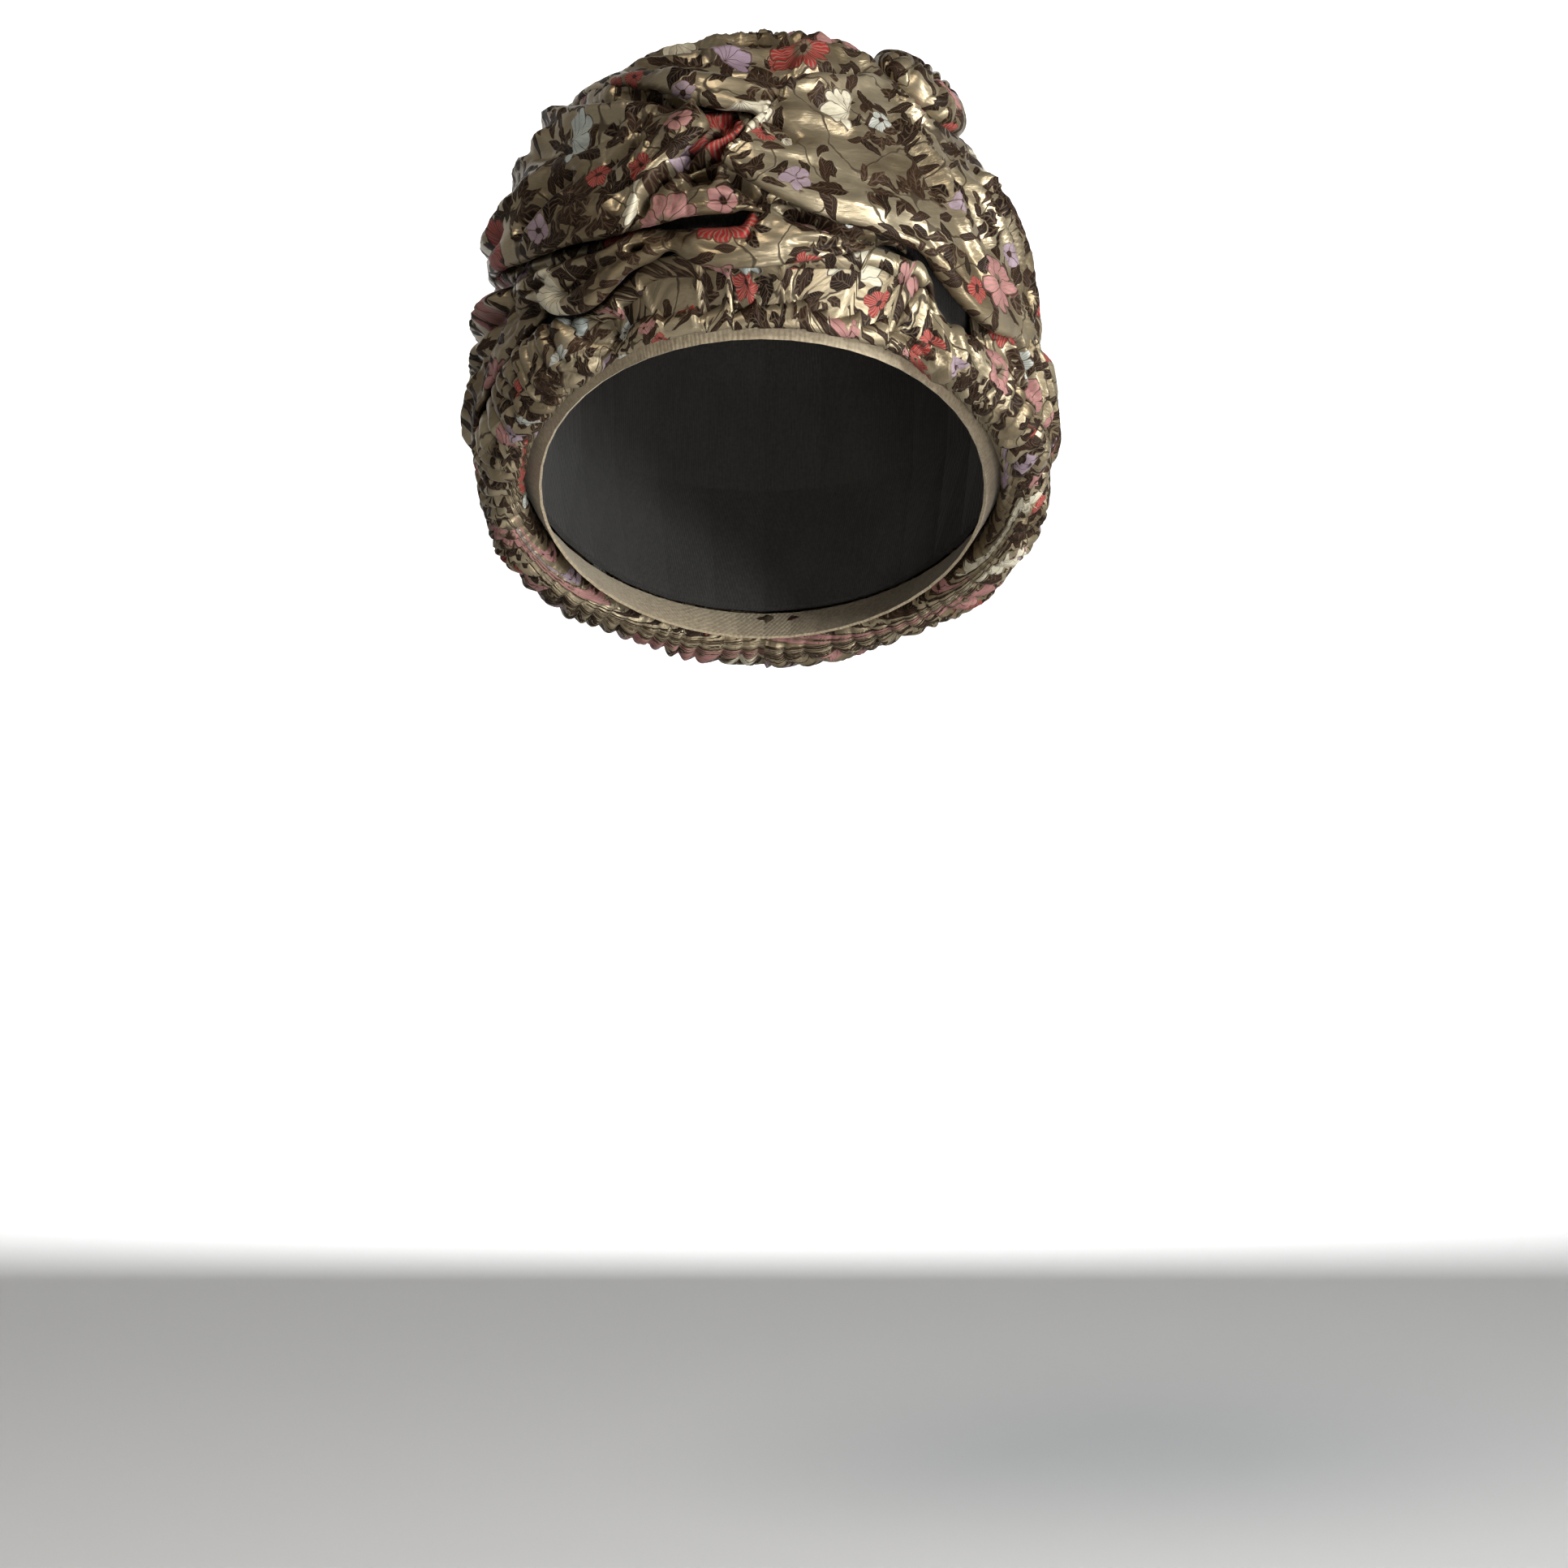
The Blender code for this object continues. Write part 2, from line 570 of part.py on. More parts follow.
def add_top_knot(stack, material):
    """The rolled knot: a gathered mound that sits on the top drape."""
    middle = direction(KNOT_AZIMUTH, KNOT_ELEVATION)
    side = np.cross(middle, (0, 0, 1))
    side /= np.linalg.norm(side)
    up = np.cross(side, middle)
    columns, lines = 28, 8
    turn = np.radians(np.linspace(0, 360, columns, endpoint=False))
    reach = np.sin(np.linspace(0, 1, lines) * math.pi / 2)[:, None]
    reach_m = reach / HALF_WIDTH
    way = (middle + side * (reach_m * KNOT_WIDTH / 2 * np.cos(turn))[..., None]
           + up * (reach_m * KNOT_LENGTH / 2 * np.sin(turn))[..., None])
    way /= np.linalg.norm(way, axis=-1, keepdims=True)
    azimuth = np.degrees(np.arctan2(way[..., 0], -way[..., 1]))
    elevation = np.degrees(np.arcsin(way[..., 2]))
    seat = stack.top(azimuth, elevation) + LAYER_GAP
    mound = np.sqrt(np.clip(1 - reach ** 2, 0, 1))
    gathers = KNOT_GATHER_DEPTH * np.cos(KNOT_GATHERS * turn + 3 * reach) * reach * mound
    dimple = KNOT_DIMPLE * np.exp(-(3 * reach) ** 2)
    outer = seat + CLOTH_WALL / 2 + KNOT_RISE * mound + gathers - dimple
    add_cap("top_knot", place(outer, azimuth, elevation), place(seat, azimuth, elevation), material)


def add_face_roll(stack, material):
    """The padded roll: ruched at the sides and the nape, tucked over the forehead."""
    turns, sides = 96, 10
    turn = np.linspace(-180, 180, turns, endpoint=False)
    centre, outward, upward = roll_line(turn)
    around = roll_azimuth(turn)
    side = 1 - np.exp(-(turn / 45) ** 4)
    swell = side * RUCHE_DEPTH * np.cos(ROLL_RUCHES * np.radians(turn))
    for azimuth, width in TUCKS:
        swell -= TUCK_DEPTH * np.exp(-((around - azimuth) / width) ** 2)
    sections = []
    for angle in np.radians(np.linspace(0, 360, sides, endpoint=False)):
        thick = read(ROLL, "thick", around) * ROLL_THICKNESS + swell * max(math.cos(angle), 0)
        half = "upper" if math.sin(angle) > 0 else "lower"
        tall = read(ROLL, half, around) * ROLL_HEIGHT
        point = centre + outward * (thick * math.cos(angle))[:, None]
        sections.append(point + upward * (tall * math.sin(angle))[:, None])
    sections = np.stack(sections, axis=1) - np.array([0, 0, HEAD_RISE])
    stack.add(add_ring("face_roll", sections, material), LAP_AZIMUTH)


def add_sweatband(material):
    """The ribbon inside the roll, whose edge shows at the temples."""
    turn = np.linspace(-180, 180, 50, endpoint=False)
    centre, outward, upward = roll_line(turn)
    near = (read(ROLL, "thick", roll_azimuth(turn)) * ROLL_THICKNESS + SWEATBAND_GAP)[:, None]
    sections = []
    for inset, height in ((0, 0.5), (0, -0.5), (SWEATBAND_WALL, -0.5), (SWEATBAND_WALL, 0.5)):
        lift = SWEATBAND_HEIGHT * height - SWEATBAND_DROP
        sections.append(centre - outward * (near + inset) + upward * lift)
    sections = np.stack(sections, axis=1) - np.array([0, 0, HEAD_RISE])
    add_ring("sweatband", sections, material)


clear_scene()
brocade = cloth_material("satin brocade", GROUND, 0.42)
cap_cloth = cloth_material("inner cloth", INNER, 0.70)
ribbon = cloth_material("grosgrain ribbon", RIBBON, 0.75)

layers = Stack()
add_crown(layers, cap_cloth)
add_face_roll(layers, brocade)
add_wrap("lower_wrap", layers, LOWER_WRAP, 30, 8, (), brocade)
add_wrap("front_twist", layers, FRONT_TWIST, 12, 10, TWIST_FOLDS, brocade)
add_wrap("left_drape", layers, LEFT_DRAPE, 18, 9, SIDE_FOLDS, brocade)
add_wrap("right_gather", layers, RIGHT_GATHER, 12, 7, GATHER_FOLDS, brocade)
add_wrap("left_wrap", layers, LEFT_WRAP, 30, 10, LEFT_FOLDS, brocade)
add_top_drape(layers, brocade)
add_wrap("back_fold", layers, BACK_FOLD, 10, 8, BACK_FOLDS, brocade)
add_top_knot(layers, brocade)
add_sweatband(ribbon)
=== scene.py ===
"""Turban headwrap in folded satin brocade, dressed over its solid model: one section for each piece, in
the order in which the hat is put together, then the light, the floor and the camera.

A direction from the middle of the head is an azimuth (0 in front, positive to the viewer's right) and an
elevation, in degrees. Heights, widths and depths in the tables are in millimetres.
"""

from collections import namedtuple
import math

import bmesh
import bpy
import numpy as np
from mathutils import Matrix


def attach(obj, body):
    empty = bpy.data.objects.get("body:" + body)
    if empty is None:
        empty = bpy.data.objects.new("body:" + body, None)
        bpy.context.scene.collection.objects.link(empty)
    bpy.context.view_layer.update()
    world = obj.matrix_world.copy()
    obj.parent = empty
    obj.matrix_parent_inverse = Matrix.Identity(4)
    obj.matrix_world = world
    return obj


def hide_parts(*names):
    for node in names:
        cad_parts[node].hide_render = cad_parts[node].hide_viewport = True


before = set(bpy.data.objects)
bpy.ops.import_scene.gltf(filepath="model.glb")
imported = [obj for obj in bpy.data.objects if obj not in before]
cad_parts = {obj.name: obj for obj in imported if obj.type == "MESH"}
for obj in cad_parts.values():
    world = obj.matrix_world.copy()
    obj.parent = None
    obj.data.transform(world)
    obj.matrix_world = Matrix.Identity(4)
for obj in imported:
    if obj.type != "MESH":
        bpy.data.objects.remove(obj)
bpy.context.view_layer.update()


# Inner cap
# A plain woven lining that every fold is sewn to. It shows from below and in the gaps between the folds.
# It keeps the solid model's shape and gets its cloth here. The cloth is near black, darker than the cap's
# own tan, as painted shade in the gaps between the folds.

def add_node(tree, kind, inputs=(), **settings):
    """A shader node with its inputs linked or set by position or name, and its own settings."""
    node = tree.nodes.new(kind)
    for key, value in settings.items():
        setattr(node, key, value)
    for key, value in dict(inputs).items():
        socket = node.inputs[key]
        if isinstance(value, bpy.types.NodeSocket):
            tree.links.new(value, socket)
        else:
            socket.default_value = value
    return node


def calculate(tree, operation, *values):
    """The output of one math node."""
    return add_node(tree, "ShaderNodeMath", enumerate(values), operation=operation).outputs[0]


def times(tree, first, second):
    """The product of two values."""
    return calculate(tree, "MULTIPLY", first, second)


def parts_of(tree, vector):
    """The three parts of a vector."""
    return add_node(tree, "ShaderNodeSeparateXYZ", {0: vector}).outputs


def noise(tree, place, scale, detail):
    """A noise over the place: its value as Fac, and its colour."""
    return add_node(tree, "ShaderNodeTexNoise", {"Vector": place, "Scale": scale, "Detail": detail}).outputs


def blend(tree, share, first, second, mode="MIX"):
    """The colour between two colours."""
    node = add_node(tree, "ShaderNodeMix", {0: share, 6: first, 7: second}, data_type="RGBA",
                    blend_type=mode)
    return node.outputs[2]


def spread(tree, value, low, high, start=0.0, end=1.0):
    """A value's range moved to another range, smoothly and within its ends."""
    node = add_node(tree, "ShaderNodeMapRange", {0: value, 1: low, 2: high, 3: start, 4: end},
                    interpolation_type="SMOOTHSTEP")
    return node.outputs[0]


def make_group(name, inputs, outputs):
    """An empty shader node group with named inputs and outputs, and its two end nodes."""
    group = bpy.data.node_groups.new(name, "ShaderNodeTree")
    for title, kind in inputs:
        group.interface.new_socket(title, in_out="INPUT", socket_type="NodeSocket" + kind)
    for title, kind in outputs:
        group.interface.new_socket(title, in_out="OUTPUT", socket_type="NodeSocket" + kind)
    return group, group.nodes.new("NodeGroupInput").outputs, group.nodes.new("NodeGroupOutput").inputs


def plain_weave():
    """Over-and-under threads: a height, and a small change of shade from thread to thread."""
    group, given, result = make_group("plain weave", [("Place", "Vector"), ("Thread", "Float")],
                                      [("Height", "Float"), ("Shade", "Float")])
    place = parts_of(group, given["Place"])
    turns = calculate(group, "DIVIDE", math.pi, given["Thread"])
    across = calculate(group, "SINE", times(group, place[0], turns))
    along = calculate(group, "SINE", times(group, place[1], turns))
    group.links.new(times(group, across, along), result["Height"])
    group.links.new(noise(group, given["Place"], 900.0, 3.0)["Fac"], result["Shade"])
    return group


def new_material(name):
    """A material with its tree and its shader."""
    material = bpy.data.materials.new(name)
    material.use_nodes = True
    return material, material.node_tree, material.node_tree.nodes["Principled BSDF"]


def use_group(tree, group, **inputs):
    """A group placed in a material, with its values by name."""
    node = tree.nodes.new("ShaderNodeGroup")
    node.node_tree = group
    for title, value in inputs.items():
        socket = node.inputs[title.replace("_", " ")]
        if isinstance(value, bpy.types.NodeSocket):
            tree.links.new(value, socket)
        else:
            socket.default_value = value
    return node.outputs


WEAVE = plain_weave()


def bump(tree, height, strength, distance):
    """Normals bent by a height."""
    return add_node(tree, "ShaderNodeBump",
                    {"Height": height, "Strength": strength, "Distance": distance}).outputs[0]


def woven_cloth(name, dark, pale, thread, roughness):
    """Plain matte cloth that reads the object's own coordinates."""
    material, tree, shader = new_material(name)
    place = add_node(tree, "ShaderNodeTexCoord").outputs["Object"]
    weave = use_group(tree, WEAVE, Place=place, Thread=thread)
    wear = noise(tree, place, 38.0, 4.0)["Fac"]
    shade = calculate(tree, "ADD", times(tree, weave["Shade"], 0.6), times(tree, wear, 0.4))
    tree.links.new(blend(tree, spread(tree, shade, 0.35, 0.65), dark, pale), shader.inputs["Base Color"])
    tree.links.new(bump(tree, weave["Height"], 0.35, 0.0002), shader.inputs["Normal"])
    shader.inputs["Roughness"].default_value = roughness
    shader.inputs["Sheen Weight"].default_value = 0.15
    return material


def cover(node, material):
    """The material on a piece that keeps the solid model's shape."""
    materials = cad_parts[node].data.materials
    materials.clear()
    materials.append(material)


# Painted shade: the lining is near black so that the gaps between the folds read as shadow, not in its own
# colour.
cover("crown", woven_cloth("lining_painted_shade", (0.009, 0.007, 0.005, 1), (0.018, 0.015, 0.011, 1), 0.0006, 0.85))


# Sweatband
# A beige ribbon stitched inside the roll, whose edge shows at both temples. It keeps the solid model's
# shape.

cover("sweatband", woven_cloth("ribbon", (0.22, 0.165, 0.10, 1), (0.34, 0.27, 0.17, 1), 0.0009, 0.75))


# Face roll
# A tube of brocade stuffed with wadding, sewn round the whole opening. It is ruched at the sides and the
# nape, and a flatter band with overlapping tucks over the forehead.

MM = 0.001
HEAD_RISE = 0.0818
HALF_WIDTH, FRONT_DEPTH, BACK_DEPTH = 0.089, 0.107, 0.112
CROWN_RISE, NAPE_TAPER = 0.089, 0.150
# The side cloth swells out at one level, and the form leans to the viewer's left at another
SIDE_SWELL, SWELL_LEVEL, SWELL_SPREAD = 0.008, -24, 17
SIDE_LEAN, LEAN_LEVEL, LEAN_SPREAD = 0.0045, 30, 20


def unit(vectors):
    """The vectors at length one."""
    return vectors / np.linalg.norm(vectors, axis=-1, keepdims=True)


def travel(points):
    """How far each point lies along its line of points, which runs along the first axis."""
    steps = np.linalg.norm(np.diff(points, axis=0), axis=-1)
    return np.concatenate([np.zeros_like(steps[:1]), np.cumsum(steps, axis=0)])


def direction(azimuth, elevation):
    """Unit vectors for azimuths and elevations in degrees."""
    turn, rise = np.radians(azimuth), np.radians(elevation)
    return np.stack([np.cos(rise) * np.sin(turn), -np.cos(rise) * np.cos(turn), np.sin(rise)], axis=-1)


def angles(way):
    """Azimuths and elevations, in degrees, of unit vectors."""
    return (np.degrees(np.arctan2(way[..., 0], -way[..., 1])),
            np.degrees(np.arcsin(np.clip(way[..., 2], -1, 1))))


def side_lean(azimuth, elevation):
    """How far the form lies inward at the viewer's right, and outward at the left."""
    level = np.exp(-((elevation - LEAN_LEVEL) / LEAN_SPREAD) ** 2)
    return SIDE_LEAN * np.sin(np.radians(azimuth)) * level


def form_radius(way):
    """The head form that the cloth follows: an ellipsoid above and a longer taper to the nape below."""
    depth = np.where(way[..., 1] < 0, FRONT_DEPTH, BACK_DEPTH)
    square = (way[..., 0] / HALF_WIDTH) ** 2 + (way[..., 1] / depth) ** 2
    square = square + (np.maximum(way[..., 2], 0) / CROWN_RISE) ** 2
    below = (np.maximum(-way[..., 2], 0) / NAPE_TAPER) ** 3
    radius = np.minimum(1 / np.sqrt(square + 1e-9), NAPE_TAPER)
    for _ in range(12):
        radius = radius - (square * radius ** 2 + below * radius ** 3 - 1) / (
            2 * square * radius + 3 * below * radius ** 2)
    azimuth, elevation = angles(way)
    level = np.exp(-((elevation - SWELL_LEVEL) / SWELL_SPREAD) ** 2)
    swell = SIDE_SWELL * np.sin(np.radians(azimuth)) ** 2 * level
    return radius + swell - side_lean(azimuth, elevation)


def smooth(knots, values, at):
    """A curve through the values that doesn't overshoot them."""
    knots, values = np.asarray(knots, float), np.asarray(values, float)
    steps = np.diff(values) / np.diff(knots)
    slopes = np.gradient(values, knots)
    slopes[1:-1][steps[:-1] * steps[1:] <= 0] = 0
    limit = 2 * np.minimum(np.abs(steps[:-1]), np.abs(steps[1:]))
    slopes[1:-1] = np.clip(slopes[1:-1], -limit, limit)
    cell = np.clip(np.searchsorted(knots, at) - 1, 0, len(knots) - 2)
    span = knots[cell + 1] - knots[cell]
    t = np.clip((at - knots[cell]) / span, 0, 1)
    return ((2 * t ** 3 - 3 * t ** 2 + 1) * values[cell] + (t ** 3 - 2 * t ** 2 + t) * span * slopes[cell]
            + (3 * t ** 2 - 2 * t ** 3) * values[cell + 1] + (t ** 3 - t ** 2) * span * slopes[cell + 1])


def rumple(x, y, seed):
    """Smooth random relief between about -1 and 1, one bump for each unit of x and y."""
    size = 61
    table = np.random.default_rng(seed).uniform(-1, 1, (size, size))
    i, j = np.floor(x).astype(int), np.floor(y).astype(int)
    u, v = x - i, y - j
    u, v = u * u * (3 - 2 * u), v * v * (3 - 2 * v)
    left, right, near, far = i % size, (i + 1) % size, j % size, (j + 1) % size
    low = table[left, near] * (1 - u) + table[right, near] * u
    high = table[left, far] * (1 - u) + table[right, far] * u
    return low * (1 - v) + high * v


def arc_lengths(grid):
    """How far each point of a grid lies along its row and along its column, over the cloth."""
    across = travel(grid.swapaxes(0, 1)).T
    across = across - across[:, [grid.shape[1] // 2]]
    return np.stack([across, travel(grid)], axis=-1)


def set_out(name, data):
    """A new object in the scene."""
    thing = bpy.data.objects.new(name, data)
    bpy.context.scene.collection.objects.link(thing)
    return thing


def weld(mesh, apart, short, outward):
    """Joins points that fall together and drops faces with no area. The faces can be turned outward."""
    shape = bmesh.new()
    shape.from_mesh(mesh)
    bmesh.ops.remove_doubles(shape, verts=shape.verts, dist=apart)
    bmesh.ops.dissolve_degenerate(shape, edges=shape.edges, dist=short)
    if outward:
        bmesh.ops.recalc_face_normals(shape, faces=shape.faces)
    shape.to_mesh(mesh)
    shape.free()


def sew(name, grid, pattern, wall, ring_columns, ring_rows, material, gores=None):
    """A closed cloth mesh from a grid of points, with its thickness inward, and its pattern coordinates.
    Where the columns or the rows run round, the grid's last ones repeat the first. A cloth cut in gores
    has a pattern for each, and the gore of each face."""
    rows, columns = grid.shape[:2]
    middle = np.array([0, 0, -HEAD_RISE])
    down = np.gradient(grid, axis=0)
    over = np.gradient(grid, axis=1)
    if ring_columns:
        over[:, 0] = over[:, -1] = grid[:, 1] - grid[:, -2]
    if ring_rows:
        down[0] = down[-1] = grid[1] - grid[-2]
    normal = np.cross(down, over)
    normal /= np.linalg.norm(normal, axis=2, keepdims=True) + 1e-12
    if not ring_rows and np.sum(normal * (grid - middle)) < 0:
        normal = -normal
    number = np.arange(rows * columns).reshape(rows, columns)
    corners = np.stack([number[:-1, :-1], number[:-1, 1:], number[1:, 1:], number[1:, :-1]], axis=-1)
    faces = [corners.reshape(-1, 4)]
    points = [grid.reshape(-1, 3)]
    patterns = pattern.reshape(-1, rows * columns, 2)
    cuts = [np.zeros(len(faces[0]), int) if gores is None else gores.reshape(-1)]
    if wall:
        count = rows * columns
        points.append((grid - normal * wall).reshape(-1, 3))
        patterns = np.concatenate([patterns, patterns], axis=1)
        cuts.append(cuts[0])
        faces.append(corners.reshape(-1, 4)[:, ::-1] + count)
        edges = [] if ring_columns else [number[:, 0], number[::-1, -1]]
        edges += [] if ring_rows else [number[-1, :], number[0, ::-1]]
        for edge in edges:
            a, b = edge[:-1], edge[1:]
            faces.append(np.stack([a, b, b + count, a + count], axis=-1))
            cuts.append(np.zeros(len(a), int))
    faces = np.concatenate(faces)
    places = patterns[np.concatenate(cuts)[:, None], faces]
    mesh = bpy.data.meshes.new(name)
    mesh.from_pydata(np.concatenate(points).tolist(), [], faces.tolist())
    layer = mesh.uv_layers.new(name="cloth")
    layer.data.foreach_set("uv", places.ravel().astype(np.float32))
    weld(mesh, 2e-6, 1e-7, True)
    mesh.shade_smooth()
    mesh.materials.append(material)
    return set_out(name, mesh)


def minus(tree, first, second):
    """The difference of two values."""
    return calculate(tree, "SUBTRACT", first, second)


def vector_math(tree, operation, *values, **named):
    """The outputs of one vector math node."""
    return add_node(tree, "ShaderNodeVectorMath", {**dict(enumerate(values)), **named},
                    operation=operation).outputs


def fade(tree, value, low, high):
    """One up to the low value, and from there smoothly down to nothing at the high value."""
    return spread(tree, value, low, high, 1.0, 0.0)


def cells():
    """Scattered motifs: the place within each one, turned at random, and two random values for each."""
    group, given, result = make_group(
        "scattered motifs", [("Place", "Vector"), ("Size", "Float"), ("Shift", "Float")],
        [("Local", "Vector"), ("Kind", "Float"), ("Choice", "Float")])
    share = calculate(group, "DIVIDE", 1.0, given["Size"])
    grown = vector_math(group, "SCALE", given["Place"], Scale=share)
    shift = add_node(group, "ShaderNodeCombineXYZ", {0: given["Shift"], 1: given["Shift"]}).outputs[0]
    moved = vector_math(group, "ADD", grown[0], shift)[0]
    nearest = add_node(group, "ShaderNodeTexVoronoi", {"Vector": moved, "Scale": 1.0, "Randomness": 0.72},
                       voronoi_dimensions="2D").outputs
    local = vector_math(group, "SUBTRACT", moved, nearest["Position"])[0]
    chance = add_node(group, "ShaderNodeSeparateColor", {0: nearest["Color"]}).outputs
    angle = times(group, chance[0], 2 * math.pi)
    turned = add_node(group, "ShaderNodeVectorRotate", {"Vector": local, "Angle": angle},
                      rotation_type="Z_AXIS").outputs[0]
    group.links.new(turned, result["Local"])
    group.links.new(chance[1], result["Kind"])
    group.links.new(chance[2], result["Choice"])
    return group


def petals():
    """A flower seen open or as a fan: its fill, its dark outlines, and the streaks along its petals."""
    group, given, result = make_group(
        "petals", [("Local", "Vector"), ("Petals", "Float"), ("Radius", "Float"), ("Fan", "Float"),
                   ("Line", "Float"), ("Streaks", "Float")],
        [("Fill", "Float"), ("Outline", "Float"), ("Streak", "Float"), ("Reach", "Float")])
    place = parts_of(group, given["Local"])
    reach = vector_math(group, "LENGTH", given["Local"])["Value"]
    angle = calculate(group, "ARCTAN2", place[1], place[0])
    half = times(group, times(group, angle, given["Petals"]), 0.5)
    lobe = calculate(group, "ABSOLUTE", calculate(group, "SINE", half))
    tip = calculate(group, "MULTIPLY_ADD", calculate(group, "POWER", lobe, 0.6), 0.30, 0.70)
    rim = times(group, tip, given["Radius"])
    inside = minus(group, rim, reach)
    # A fan keeps only the half above its stem
    below = times(group, minus(group, 0.0, place[1]), given["Fan"])
    open_side = fade(group, below, 0.0, 0.02)
    fill = times(group, spread(group, inside, 0.0, 0.012), open_side)
    edge = fade(group, calculate(group, "ABSOLUTE", inside), 0.0, given["Line"])
    gap = times(group, lobe, reach)
    split = fade(group, gap, 0.0, times(group, given["Line"], 1.6))
    split = times(group, split, fill)
    outline = times(group, calculate(group, "MAXIMUM", edge, split), open_side)
    streak = calculate(group, "SINE", times(group, angle, given["Streaks"]))
    group.links.new(fill, result["Fill"])
    group.links.new(outline, result["Outline"])
    group.links.new(spread(group, streak, 0.1, 0.7), result["Streak"])
    group.links.new(calculate(group, "DIVIDE", reach, given["Radius"]), result["Reach"])
    return group


def leaf():
    """A pointed leaf with a pale vein and slanting threads: its fill and its pale lines."""
    group, given, result = make_group(
        "leaf", [("Local", "Vector"), ("Length", "Float"), ("Width", "Float")],
        [("Fill", "Float"), ("Vein", "Float")])
    place = parts_of(group, given["Local"])
    along = calculate(group, "DIVIDE", place[0], given["Length"])
    bend = times(group, times(group, along, along), 0.06)
    side = calculate(group, "ABSOLUTE", minus(group, place[1], bend))
    room = minus(group, 1.0, times(group, along, along))
    inside = minus(group, times(group, room, given["Width"]), side)
    fill = spread(group, inside, 0.0, 0.02)
    vein = fade(group, side, 0.004, 0.014)
    slant = times(group, minus(group, times(group, side, 1.3), place[0]), 62.0)
    threads = spread(group, calculate(group, "SINE", slant), 0.62, 0.95)
    pale = calculate(group, "MAXIMUM", vein, times(group, threads, 0.85))
    group.links.new(fill, result["Fill"])
    group.links.new(times(group, pale, fill), result["Vein"])
    return group


leaf_group = leaf()


def sprig():
    """Leaflets set round the end of a stem, on its open side: their fill and their pale lines."""
    group, given, result = make_group(
        "sprig", [("Local", "Vector"), ("Leaflets", "Float")], [("Fill", "Float"), ("Vein", "Float")])
    place = parts_of(group, given["Local"])
    reach = vector_math(group, "LENGTH", given["Local"])["Value"]
    angle = calculate(group, "ARCTAN2", place[1], place[0])
    sector = calculate(group, "DIVIDE", 2 * math.pi, given["Leaflets"])
    turned = calculate(group, "FLOORED_MODULO", angle, sector)
    turned = minus(group, turned, times(group, sector, 0.5))
    along = times(group, calculate(group, "COSINE", turned), reach)
    side = times(group, calculate(group, "SINE", turned), reach)
    spot = add_node(group, "ShaderNodeCombineXYZ", {0: minus(group, along, 0.27), 1: side}).outputs[0]
    shape = use_group(group, leaf_group, Local=spot, Length=0.20, Width=0.085)
    open_side = spread(group, place[0], -0.12, -0.02)
    group.links.new(times(group, shape["Fill"], open_side), result["Fill"])
    group.links.new(times(group, shape["Vein"], open_side), result["Vein"])
    return group


def choose(tree, value, stops):
    """One of a few colours, picked by a value."""
    pick = add_node(tree, "ShaderNodeValToRGB", {0: value})
    ramp = pick.color_ramp
    ramp.interpolation = "CONSTANT"
    for at, tone in stops:
        stop = ramp.elements[0] if at == 0 else ramp.elements.new(at)
        stop.color = tone
    ramp.elements.remove(ramp.elements[-1])
    return pick.outputs[0]


